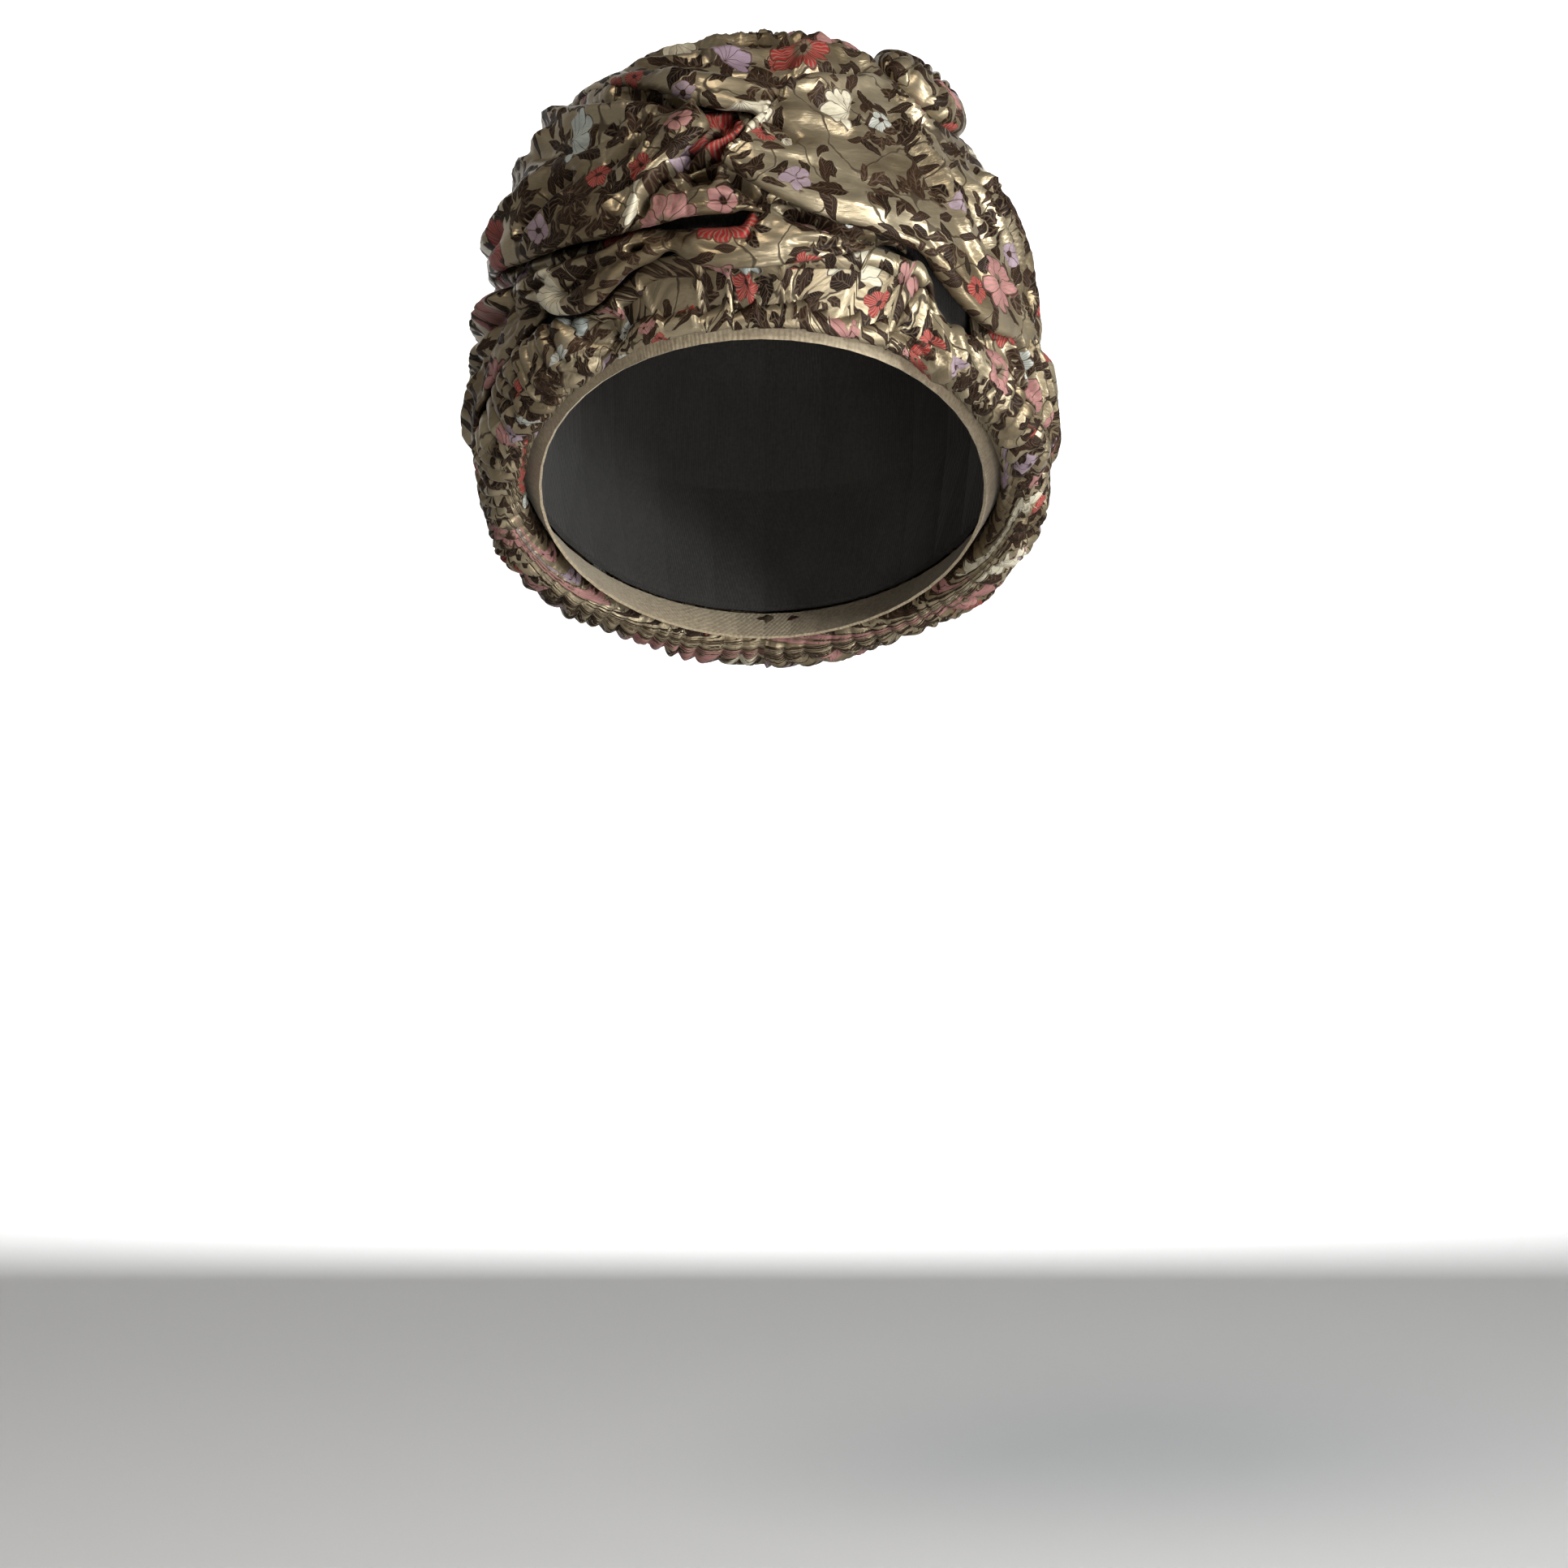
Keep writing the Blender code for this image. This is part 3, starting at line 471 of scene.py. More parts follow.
def brocade_pattern():
    """The woven pattern: leaves and stems under small and large flowers, as a colour and a mask."""
    group, given, result = make_group("brocade pattern", [("Place", "Vector")],
                                      [("Color", "Color"), ("Figure", "Float")])
    motif, flower, spray = cells(), petals(), sprig()
    dim_satin, pale_satin = (0.150, 0.113, 0.066, 1), (0.300, 0.246, 0.160, 1)
    bark, vein_brown = (0.012, 0.006, 0.003, 1), (0.060, 0.040, 0.024, 1)
    dark_brown, leaf_brown = (0.005, 0.002, 0.001, 1), (0.020, 0.009, 0.005, 1)
    sprig_brown, pink = (0.026, 0.013, 0.007, 1), (0.28, 0.125, 0.118, 1)
    small_red, large_red = (0.215, 0.020, 0.018, 1), (0.205, 0.019, 0.017, 1)
    small_lilac, large_lilac = (0.22, 0.165, 0.20, 1), (0.24, 0.175, 0.22, 1)
    small_white, large_white = (0.36, 0.38, 0.34, 1), (0.34, 0.37, 0.34, 1)
    cream = (0.44, 0.40, 0.30, 1)

    def scatter(size, shift, share):
        """Motifs of one size, and where they show: those whose first random value is above the share."""
        spot = use_group(group, motif, Place=place, Size=size, Shift=shift)
        return spot, calculate(group, "GREATER_THAN", spot["Kind"], share)

    # The weaver's lines waver a little
    waver = noise(group, given["Place"], 130.0, 2.0)["Color"]
    waver = vector_math(group, "SUBTRACT", waver, (0.5, 0.5, 0.5))[0]
    waver = vector_math(group, "SCALE", waver, Scale=0.0055)[0]
    place = vector_math(group, "ADD", given["Place"], waver)[0]
    tone = noise(group, place, 26.0, 2.0)["Fac"]
    colour = blend(group, spread(group, tone, 0.35, 0.65), dim_satin, pale_satin)
    # Stems follow the level lines of a slow noise
    level = calculate(group, "ABSOLUTE", minus(group, noise(group, place, 48.0, 0.0)["Fac"], 0.5))
    stem = fade(group, level, 0.004, 0.014)
    colour = blend(group, times(group, stem, 0.85), colour, bark)
    figure = stem
    # Leaves in three sizes, and sprigs of seven and nine leaflets
    for size, shift, share, shape_group, sizes, pale in (
            (0.0080, 3.7, 0.45, leaf_group, {"Length": 0.48, "Width": 0.20}, leaf_brown),
            (0.0104, 7.9, 0.45, leaf_group, {"Length": 0.48, "Width": 0.18}, leaf_brown),
            (0.0140, 11.3, 0.52, leaf_group, {"Length": 0.47, "Width": 0.17}, leaf_brown),
            (0.0190, 17.1, 0.30, spray, {"Leaflets": 7.0}, sprig_brown),
            (0.0240, 29.7, 0.40, spray, {"Leaflets": 9.0}, sprig_brown)):
        spot, shown = scatter(size, shift, share)
        shape = use_group(group, shape_group, Local=spot["Local"], **sizes)
        mask = times(group, shape["Fill"], shown)
        brown = blend(group, spot["Choice"], dark_brown, pale)
        brown = blend(group, shape["Vein"], brown, vein_brown)
        colour = blend(group, mask, colour, brown)
        figure = calculate(group, "MAXIMUM", figure, mask)
    # Small blossoms
    spot, shown = scatter(0.015, 23.9, 0.66)
    shape = use_group(group, flower, Local=spot["Local"], Petals=5.0, Radius=0.30, Fan=0.0, Line=0.030,
                      Streaks=26.0)
    mask = times(group, shape["Fill"], shown)
    petal = choose(group, spot["Choice"],
                   [(0.0, small_red), (0.30, pink), (0.56, small_lilac), (0.80, small_white)])
    petal = blend(group, times(group, shape["Streak"], 0.65), petal, (0.20, 0.15, 0.11, 1))
    petal = blend(group, fade(group, shape["Reach"], 0.20, 0.30), petal, bark)
    petal = blend(group, shape["Outline"], petal, (0.05, 0.022, 0.016, 1))
    colour = blend(group, mask, colour, petal)
    figure = calculate(group, "MAXIMUM", figure, mask)
    # Large flowers: full red and pink ones, and half open fans in cream, lilac and white
    spot, shown = scatter(0.028, 41.2, 0.52)
    fan = calculate(group, "GREATER_THAN", spot["Choice"], 0.50)
    count = calculate(group, "MULTIPLY_ADD", fan, 4.0, 9.0)
    shape = use_group(group, flower, Local=spot["Local"], Petals=count, Radius=0.35, Fan=fan, Line=0.022,
                      Streaks=36.0)
    mask = times(group, calculate(group, "MAXIMUM", shape["Fill"], shape["Outline"]), shown)
    petal = choose(group, spot["Choice"], [(0.0, large_red), (0.20, pink), (0.50, cream),
                                           (0.72, large_lilac), (0.88, large_white)])
    full = minus(group, 1.0, fan)
    streak = times(group, shape["Streak"], calculate(group, "MULTIPLY_ADD", full, 0.55, 0.15))
    petal = blend(group, streak, petal, (0.17, 0.12, 0.085, 1))
    heart = times(group, fade(group, shape["Reach"], 0.24, 0.36), full)
    petal = blend(group, heart, petal, (0.12, 0.085, 0.055, 1))
    seeds = times(group, fade(group, shape["Reach"], 0.14, 0.18), full)
    petal = blend(group, seeds, petal, bark)
    petal = blend(group, shape["Outline"], petal, (0.035, 0.016, 0.010, 1))
    colour = blend(group, mask, colour, petal)
    figure = calculate(group, "MAXIMUM", figure, mask)
    group.links.new(colour, result["Color"])
    group.links.new(figure, result["Figure"])
    return group


PATTERN = brocade_pattern()


def satin_brocade(name, stretch, shift):
    """Satin brocade along the piece's own cloth coordinates. Gathered cloth shows more pattern along its
    length, which the stretch gives."""
    material, tree, shader = new_material(name)
    cloth = add_node(tree, "ShaderNodeUVMap", uv_map="cloth").outputs[0]
    place = add_node(tree, "ShaderNodeMapping", {"Vector": cloth, "Location": (shift, shift, 0),
                                                "Scale": (stretch[0], stretch[1], 1)}).outputs[0]
    figure = use_group(tree, PATTERN, Place=place)
    # Uneven threads, and fine crinkles across them
    slub = add_node(tree, "ShaderNodeMapping", {"Vector": cloth, "Scale": (1.0, 9.0, 1.0)}).outputs[0]
    slub = noise(tree, slub, 420.0, 4.0)["Fac"]
    crinkle = add_node(tree, "ShaderNodeMapping", {"Vector": cloth, "Scale": (1.0, 3.2, 1.0)}).outputs[0]
    crinkle = noise(tree, crinkle, 70.0, 3.0)["Fac"]
    shade = calculate(tree, "MULTIPLY_ADD", slub, 0.5, 0.75)
    shade = add_node(tree, "ShaderNodeCombineColor", {0: shade, 1: shade, 2: shade}).outputs[0]
    tree.links.new(blend(tree, 1.0, figure["Color"], shade, "MULTIPLY"), shader.inputs["Base Color"])
    # The woven figures are duller and less like metal than the satin round them
    gloss = calculate(tree, "MULTIPLY_ADD", figure["Figure"], 0.18, 0.29)
    gloss = calculate(tree, "ADD", gloss, times(tree, slub, 0.10))
    tree.links.new(gloss, shader.inputs["Roughness"])
    height = calculate(tree, "ADD", crinkle, times(tree, figure["Figure"], 0.08))
    height = calculate(tree, "ADD", height, times(tree, slub, 0.10))
    tree.links.new(bump(tree, height, 0.6, 0.0012), shader.inputs["Normal"])
    shader.inputs["Specular IOR Level"].default_value = 0.08
    tree.links.new(calculate(tree, "MULTIPLY_ADD", figure["Figure"], -0.5, 0.65), shader.inputs["Metallic"])
    return material


ROLL_HALF_WIDTH, ROLL_FRONT_DEPTH, ROLL_BACK_DEPTH = 0.087, 0.103, 0.090
ROLL_FRONT_DROP, ROLL_TILT_DROP = 0.011, 0.048
ROLL_HEIGHT, ROLL_THICKNESS = 0.018, 0.017
RollSection = namedtuple("RollSection", "azimuth upper lower thick")
ROLL = [
    RollSection(-180, 0.50, 0.46, 0.54),
    RollSection(-120, 0.46, 0.44, 0.46),
    RollSection(-90, 0.50, 0.48, 0.46),
    RollSection(-62, 0.66, 0.50, 0.44),
    RollSection(-45, 0.70, 0.50, 0.42),
    RollSection(-33, 0.62, 0.50, 0.36),
    RollSection(-24, 0.85, 0.50, 0.30),
    RollSection(-15, 1.15, 0.50, 0.27),
    RollSection(0, 0.95, 0.50, 0.26),
    RollSection(18, 1.35, 0.50, 0.27),
    RollSection(25, 1.35, 0.50, 0.30),
    RollSection(28.5, 1.10, 0.50, 0.33),
    RollSection(32, 0.70, 0.50, 0.37),
    RollSection(38, 0.52, 0.50, 0.41),
    RollSection(45, 0.50, 0.50, 0.44),
    RollSection(75, 0.50, 0.46, 0.46),
    RollSection(120, 0.46, 0.42, 0.46),
    RollSection(180, 0.50, 0.46, 0.54),
]
# Overlapping tucks over the forehead: where each one folds, how deep, how far its cloth runs, and how much
# it slants
Tuck = namedtuple("Tuck", "azimuth depth run slant")
TUCKS = [
    Tuck(-27, 2.2, 5, 2.0), Tuck(-19, 1.8, 6, -1.0), Tuck(-10.4, 2.2, 5, 1.0),
    Tuck(-5.0, 2.8, 4, 0.3), Tuck(-1.0, 1.6, 5, -0.8), Tuck(6.4, 2.2, 7, -2.4), Tuck(14.5, 1.4, 6, 2.0),
    Tuck(21.5, 2.6, 4, 3.0), Tuck(26, 2.0, 3, 2.0),
]


def column_of(table, name):
    """One named column of a table."""
    return [getattr(row, name) for row in table]


def roll_line(turn):
    """Centre line of the roll at turns in degrees round the oval, with its two section axes."""
    angle = np.radians(turn)
    depth = np.where(np.cos(angle) > 0, ROLL_FRONT_DEPTH, ROLL_BACK_DEPTH)
    drop = ROLL_FRONT_DROP + ROLL_TILT_DROP * (1 - np.cos(angle))
    centre = np.stack([ROLL_HALF_WIDTH * np.sin(angle), -depth * np.cos(angle), -drop], axis=-1)
    along = np.stack([ROLL_HALF_WIDTH * np.cos(angle), depth * np.sin(angle),
                      -ROLL_TILT_DROP * np.sin(angle)], axis=-1)
    along, outward = unit(along), unit(centre)
    outward = unit(outward - along * np.sum(outward * along, axis=-1, keepdims=True))
    return centre, outward, np.cross(outward, along)


# The ruched sides begin at this azimuth and are in full beyond the run
RUCHED_FROM, RUCHED_RUN = 22, 16
GATHER_WIDTH, SWAY = 7.2 * MM, 4.0 * MM
GATHER_DEPTH, FINE_DEPTH, BROAD_DEPTH = 3.3 * MM, 1.3 * MM, 1.2 * MM
TUCK_DEPTH, TUCK_DROP, BAND_DEPTH = 1.7 * MM, 0.3, 0.5 * MM


def add_face_roll():
    """The roll as a closed tube: one row of points for each angle round its section."""
    turns, sides = 760, 44
    turn = np.linspace(-180, 180, turns + 1)
    centre, outward, upward = roll_line(turn)
    azimuth = np.degrees(np.arctan2(centre[:, 0], -centre[:, 1]))
    azimuth[0], azimuth[-1] = -180, 180
    length = travel(centre)
    upper, lower, thick = (smooth(column_of(ROLL, "azimuth"), column_of(ROLL, name), azimuth)
                           for name in ("upper", "lower", "thick"))
    side = np.clip((np.abs(azimuth) - RUCHED_FROM) / RUCHED_RUN, 0, 1)
    side = side * side * (3 - 2 * side)
    grid = []
    for angle in np.linspace(0, 2 * math.pi, sides + 1):
        out, up = math.cos(angle), math.sin(angle)
        tall = np.where(up > 0, upper, lower) * ROLL_HEIGHT
        deep = thick * ROLL_THICKNESS
        face = np.stack([out / deep, up / tall])
        face /= np.linalg.norm(face, axis=0)
        outer_share = 0.2 + 0.8 * np.clip((face[0] + 0.6) / 0.9, 0, 1)
        # Ruching: gathers that bend a little across the roll, of uneven width
        sway = length + SWAY * math.sin(angle) + SWAY * rumple(length / 0.015, up * 1.6 + 9, 5)
        drift = 0.75 * rumple(length / 0.018, 0 * length, 8)
        gather = np.abs(np.sin(math.pi * (sway / GATHER_WIDTH + drift))) ** 0.5
        fine = np.abs(rumple(sway / 0.0042, up * 1.5 + out + 4, 11)) ** 0.7
        broad = rumple(sway / 0.019, up * 1.2 + 4, 12)
        relief = GATHER_DEPTH * (gather - 0.66) + FINE_DEPTH * (fine - 0.5) + BROAD_DEPTH * broad
        relief = side * relief
        # Tucks: each rises slowly to its fold, drops there, and leaves a groove beside it
        front = 1 - side
        for tuck in TUCKS:
            lift = azimuth - tuck.azimuth - tuck.slant * up
            step = np.where(lift > 0, np.exp(-(lift / tuck.run) ** 2), np.exp(-(lift / TUCK_DROP) ** 2))
            groove = np.exp(-((lift + 0.8) / 0.45) ** 2)
            relief = relief + front * tuck.depth * TUCK_DEPTH * (step - 0.4 - 0.35 * groove)
        relief = relief + front * BAND_DEPTH * rumple(length / 0.009, up * 2 + 2, 17)
        relief = relief * outer_share
        point = centre + outward * (deep * out + relief * face[0])[:, None]
        grid.append(point + upward * (tall * up + relief * face[1])[:, None])
    grid = np.array(grid) - np.array([0, 0, HEAD_RISE])
    grid[:, -1] = grid[:, 0]
    cloth = satin_brocade("brocade ruched", stretch=(1.0, 0.9), shift=0.31)
    return sew("face_roll_cloth", grid, arc_lengths(grid), 0, True, True, cloth)


face_roll = add_face_roll()
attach(face_roll, "root")
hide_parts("face_roll")


# Lower wrap
# A doubled band of brocade over the forehead. It hangs in a loop at the viewer's left and runs up under
# the crossing at the right. Its edges are turned under, not hemmed.

# One rib of a cloth: where its turned edge lies, the direction it runs to, the height of the edge and of
# the cloth behind it over the head form, and the radius of the turned edge
Rib = namedtuple("Rib", "azimuth elevation end_azimuth end_elevation lip flat curl")

# A fold along a route: its height, its width to the left and the right of the route, and how far its
# crest leans to the left
Fold = namedtuple("Fold", "route height left right lean", defaults=(0.0,))

# Folds and patterns are measured on a sphere of this radius
REFERENCE = 0.1
RIDGE_FULLNESS, CREASE_DEPTH = 1.6, 2.4
FOLD_REACH, POINTS_PER_KNOT, END_TAPER = 3.2, 6, 5
ROUTE_POINTS = 97
CROWN_LEVEL, LINING_LEVEL = -2.8 * MM, -4.1 * MM
# Where cloth that runs up to the pole begins to settle to the crown's level, and over how much height
CROWN_FROM, CROWN_RUN = 0.74, 0.22
# How much cloth lies turned under the edge, and the rows that it and the curl of the edge take
TURNED_UNDER, UNDER_SHARES, CURL_ROWS = 13 * MM, (1.0, 0.75, 0.5, 0.25), 9
LIP_TOP_ROW = len(UNDER_SHARES) + CURL_ROWS - 1
CLOTH_WALL = 0.9 * MM
# The folds are weaker under the edge. Behind it the cloth falls to its own level, and sinks at its end
UNDER_GAIN, LIP_FALL, SINK_RUN, SINK = 0.45, 0.014, 9 * MM, 5 * MM


def fold_relief(folds, way):
    """Height and sideways shift that the folds give at the directions."""
    flat = way.reshape(-1, 3)
    height, shift = np.zeros(len(flat)), np.zeros((len(flat), 3))
    for fold in folds:
        route = np.array(fold.route, float)
        knots = np.arange(len(route))
        at = np.linspace(0, len(route) - 1, POINTS_PER_KNOT * len(route))
        line = direction(*(np.interp(at, knots, route[:, k]) if len(route) < 3
                           else smooth(knots, route[:, k], at) for k in (0, 1))) * REFERENCE
        reach = FOLD_REACH * max(fold.left, fold.right) * MM
        middle = line.mean(axis=0)
        radius = np.max(np.linalg.norm(line - middle, axis=1)) + reach
        near = np.nonzero(np.linalg.norm(flat * REFERENCE - middle, axis=1) < radius)[0]
        if not len(near):
            continue
        points = flat[near] * REFERENCE
        start, step = line[:-1], np.diff(line, axis=0)
        size = np.sum(step * step, axis=1)
        offset = points[:, None, :] - start
        share = np.clip(np.sum(offset * step, axis=2) / size, 0, 1)
        offset = offset - share[..., None] * step
        apart = np.linalg.norm(offset, axis=2)
        best = np.argmin(apart, axis=1)
        pick = np.arange(len(near))
        apart, offset = apart[pick, best], offset[pick, best]
        place = (best + share[pick, best]) / len(step)
        left = unit(np.cross(flat[near], step[best]))
        width = np.where(np.sum(offset * left, axis=1) > 0, fold.left, fold.right) * MM
        taper = np.sin(np.clip(np.minimum(place, 1 - place) * END_TAPER, 0, 1) * math.pi / 2)
        if fold.height > 0:
            profile = RIDGE_FULLNESS * np.exp(-(apart / width) ** 2)
        else:
            profile = CREASE_DEPTH * np.exp(-(apart / width) ** 1.3)
        height[near] += fold.height * MM * taper * profile
        lean = fold.lean * MM * taper * np.exp(-(apart / (1.3 * width)) ** 2)
        shift[near] += left * lean[:, None]
    return height.reshape(way.shape[:-1]), shift.reshape(way.shape)


def lay_cloth(ribs, folds, columns, lines, wrinkles, seed, pole=False):
    """Points of a cloth that runs back from its turned edge, row by row from under the edge, and their
    directions. Columns run back over the cloth, and lines along its edge. Wrinkles are random relief: how
    wide along the edge, how wide across it, and how deep, in millimetres."""
    table = np.array(ribs, float)
    lips, ends = direction(table[:, 0], table[:, 1]), direction(table[:, 2], table[:, 3])
    step = np.linalg.norm(np.diff(lips, axis=0), axis=1)
    step = step + 0.3 * np.linalg.norm(np.diff(ends, axis=0), axis=1)
    knots = np.concatenate([[0], np.cumsum(step)])
    at = np.linspace(0, knots[-1], columns)
    azimuth, elevation, far_azimuth, far_elevation, lip, flat, curl = (
        smooth(knots, table[:, k], at) for k in range(7))
    start, end = direction(azimuth, elevation), direction(far_azimuth, far_elevation)
    lip, flat, curl = lip * MM, flat * MM, curl * MM
    # Directions along each column, finely, and how far each is from the edge
    t = np.linspace(0, 1, ROUTE_POINTS)[:, None, None]
    if pole:
        route = (1 - t) ** 2 * start + 2 * t * (1 - t) * end + t ** 2 * np.array([0, 0, 1.0])
    else:
        route = (1 - t) * start + t * end
    route = unit(route)
    passed = travel(route * form_radius(route)[..., None])
    whole = passed[-1]
    # Rows: under the edge, round it, and back over the cloth
    under = np.minimum(0.6 * whole, TURNED_UNDER)
    rows, lift, gain = [], [], []
    for share in UNDER_SHARES:
        rows.append(curl + (under - curl) * share)
        lift.append(-2 * curl - 1.2 * MM * share)
        gain.append(UNDER_GAIN)
    for angle in np.linspace(-90, 90, CURL_ROWS):
        rows.append(curl * (1 - math.cos(math.radians(angle))))
        lift.append(curl * (math.sin(math.radians(angle)) - 1))
        gain.append(UNDER_GAIN + (1 - UNDER_GAIN) * (angle + 90) / 180)
    for share in np.linspace(0, 1, lines)[1:]:
        rows.append(curl + (whole - curl) * share ** 1.15)
        lift.append(0 * curl)
        gain.append(1.0)
    distance, lift, gain = np.array(rows), np.array(lift), np.array(gain)[:, None]
    way = np.empty(distance.shape + (3,))
    for j in range(columns):
        for k in range(3):
            way[:, j, k] = np.interp(distance[:, j], passed[:, j], route[:, j, k])
    way = unit(way)
    back = np.maximum(distance - curl, 0)
    if pole:
        crown_share = np.clip((way[..., 2] - CROWN_FROM) / CROWN_RUN, 0, 1)
        flat = flat + (CROWN_LEVEL - flat) * crown_share ** 2 * (3 - 2 * crown_share)
    height = flat + (lip - flat) * np.exp(-(back / LIP_FALL) ** 2)
    height = np.where(lift < 0, lip, height) + lift
    if not pole:
        sink = np.clip(1 - (whole - distance) / SINK_RUN, 0, 1)
        height = height - SINK * sink ** 2 * (lift == 0)
    relief, shift = fold_relief(folds, way)
    length = at * REFERENCE
    for along, across, depth in wrinkles:
        bulge = np.abs(rumple(length / (along * MM) + 7, distance / (across * MM) + 3, seed))
        relief = relief + depth * MM * (2 * bulge ** 0.7 - 0.85)
        seed += 1
    # The cloth settles softly on the lining, which doesn't lean with the form
    floor = LINING_LEVEL + np.maximum(side_lean(*angles(way)), 0)
    height = floor + MM * np.logaddexp(0, (height + relief * gain - floor) / MM)
    grid = way * (form_radius(way) + height)[..., None] + shift * gain[..., None]
    return grid - np.array([0, 0, HEAD_RISE]), way


def laid_pattern(grid, way, centre, level):
    """Pattern coordinates that lie flat over the head form at one azimuth and elevation, and follow the
    cloth on round its turned edge."""
    azimuth, elevation = angles(way)
    azimuth = (azimuth - centre + 180) % 360 - 180 + centre
    shrink = math.cos(math.radians(level)) if level is not None else np.cos(np.radians(elevation))
    place = np.stack([np.radians(azimuth - centre) * shrink, np.radians(elevation)], axis=-1) * REFERENCE
    run = place[LIP_TOP_ROW + 4] - place[LIP_TOP_ROW]
    run /= np.linalg.norm(run, axis=1, keepdims=True) + 1e-9
    lengths = np.linalg.norm(np.diff(grid, axis=0), axis=2)
    back = np.cumsum(lengths[:LIP_TOP_ROW][::-1], axis=0)[::-1]
    place[:LIP_TOP_ROW] = place[LIP_TOP_ROW] - run * back[..., None]
    return place + np.array([math.radians(centre) * REFERENCE, 0])


def add_wrap(name, node, ribs, folds, columns, lines, wrinkles, seed, shift,
             stretch=(1.0, 1.0)):
    """One cloth piece with its material, in place of its node."""
    grid, way = lay_cloth(ribs, folds, columns, lines, wrinkles, seed)
    azimuths, elevations = angles(way[LIP_TOP_ROW:])
    centre = (azimuths.min() + azimuths.max()) / 2
    thing = sew(name, grid, laid_pattern(grid, way, centre, elevations.mean()), CLOTH_WALL, False, False,
                satin_brocade("brocade " + name.replace("_", " "), stretch, shift))
    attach(thing, "root")
    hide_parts(node)
    return thing


LOWER_RIBS = [
    Rib(-60, 1.5, -60, 5.6, -2.0, -2.5, 2.0),
    Rib(-52, -1.8, -52, 5.8, 3.0, -0.5, 3.0),
    Rib(-45, -3.6, -46, 5.9, 5.0, 1.5, 3.4),
    Rib(-38, -6.3, -40, 6.1, 6.0, 2.6, 3.6),
    Rib(-34, -6.4, -35, 6.4, 6.2, 3.0, 3.6),
    Rib(-29, -5.1, -30, 6.8, 6.0, 2.2, 3.4),
    Rib(-26, -2.8, -26, 7.2, 5.6, 2.0, 3.2),
    Rib(-22, 0.2, -22, 7.6, 5.0, 3.0, 3.0),
    Rib(-18, 1.8, -18, 7.6, 4.4, 2.4, 2.6),
    Rib(-15.2, 3.2, -15, 7.3, 3.6, 2.2, 2.2),
    Rib(-12.5, 1.6, -12, 7.2, 4.6, 2.6, 2.6),
    Rib(-9, 0.3, -8, 7.2, 6.0, 2.2, 2.5),
    Rib(-3, -0.1, -3.4, 7.4, 6.2, 2.2, 2.5),
    Rib(-0.5, 0.0, -1.6, 10.5, 6.2, 2.2, 2.5),
    Rib(3, 0.4, 2, 12.5, 6.2, 2.2, 2.5),
    Rib(9, 1.4, 8, 12.5, 6.2, 2.0, 2.5),
    Rib(14, 2.6, 13, 11.5, 5.8, 1.8, 2.5),
    Rib(18.5, 3.7, 17, 10.5, 4.4, 2.0, 2.4),
    Rib(22, 5.0, 21, 9.5, 3.0, 1.0, 2.0),
    Rib(27, 4.0, 27, 7.5, -1.0, -2.0, 1.5),
]
LOWER_FOLDS = [
    Fold([(-58, 2.9), (-49.6, 3.0), (-41, 3.6), (-33, 4.4), (-24, 5.0)], -2.0, 2.0, 2.0),
    Fold([(0, 11.2), (5.3, 8.8), (9, 7.2), (13, 5.9), (17.3, 5.4), (20.3, 5.0), (24, 3.6)], -3.4, 1.8, 1.8),
    Fold([(-15, 3.6), (-20, 2.4), (-27, -2.0)], 1.6, 1.6, 2.2),
    Fold([(-20, 5.2), (-28, 3.2), (-38, 1.4), (-46, 1.0)], 2.0, 2.4, 2.6),
    Fold([(-27, 2.6), (-33, -1.2), (-40, -3.6)], -1.6, 1.3, 1.6),
    Fold([(-19.5, 4.2), (-22.5, 3.6)], -3.4, 0.9, 0.9),
    Fold([(-36, 2.5), (-44, -0.6), (-50, -1.2)], -1.4, 1.2, 1.8),
    Fold([(-13, 4.8), (-7, 5.6), (-2, 6.6), (0, 9)], 1.2, 2.0, 3.0),
    Fold([(-2.5, 4.0), (-1.2, 7.0), (0.5, 11)], -1.6, 1.0, 1.4),
    Fold([(2, 8), (9, 5.6), (18, 5.4)], 1.4, 2.2, 2.4),
    Fold([(4, 4), (11, 3.8), (19, 4.6)], -0.8, 1.4, 1.4),
]
lower_wrap = add_wrap("lower_wrap_cloth", "lower_wrap", LOWER_RIBS, LOWER_FOLDS, columns=250,
                      lines=26, wrinkles=[(24, 6, 0.9), (10, 3.5, 0.45)], seed=101, shift=0.13)


# Front twist
# The knot where the wraps cross: a rope of rolled brocade and a hooded fold, tucked under the left wrap
# and the top drape and sewn to the cap.

TWIST_RIBS = [
    Rib(-24, 7.0, -24, 16, 1.0, 0.0, 2.0),
    Rib(-21, 7.2, -22, 24, 5.0, 0.0, 2.4),
    Rib(-18, 7.4, -19, 30, 6.4, 1.0, 2.6),
    Rib(-15, 7.9, -15, 33, 6.8, 1.4, 2.6),
    Rib(-12.5, 8.5, -10, 33, 6.8, 1.4, 2.6),
    Rib(-8, 8.7, -5, 33, 6.6, 1.4, 2.6),
    Rib(-5, 8.8, -1, 32, 6.2, 1.4, 2.6),
    Rib(-2.8, 9.4, 3, 30, 5.4, 1.0, 2.4),
    Rib(0, 9.4, 6, 26, 3.0, 1.4, 2.0),
    Rib(4, 8.8, 9, 20, 0.0, -1.0, 1.6),
]
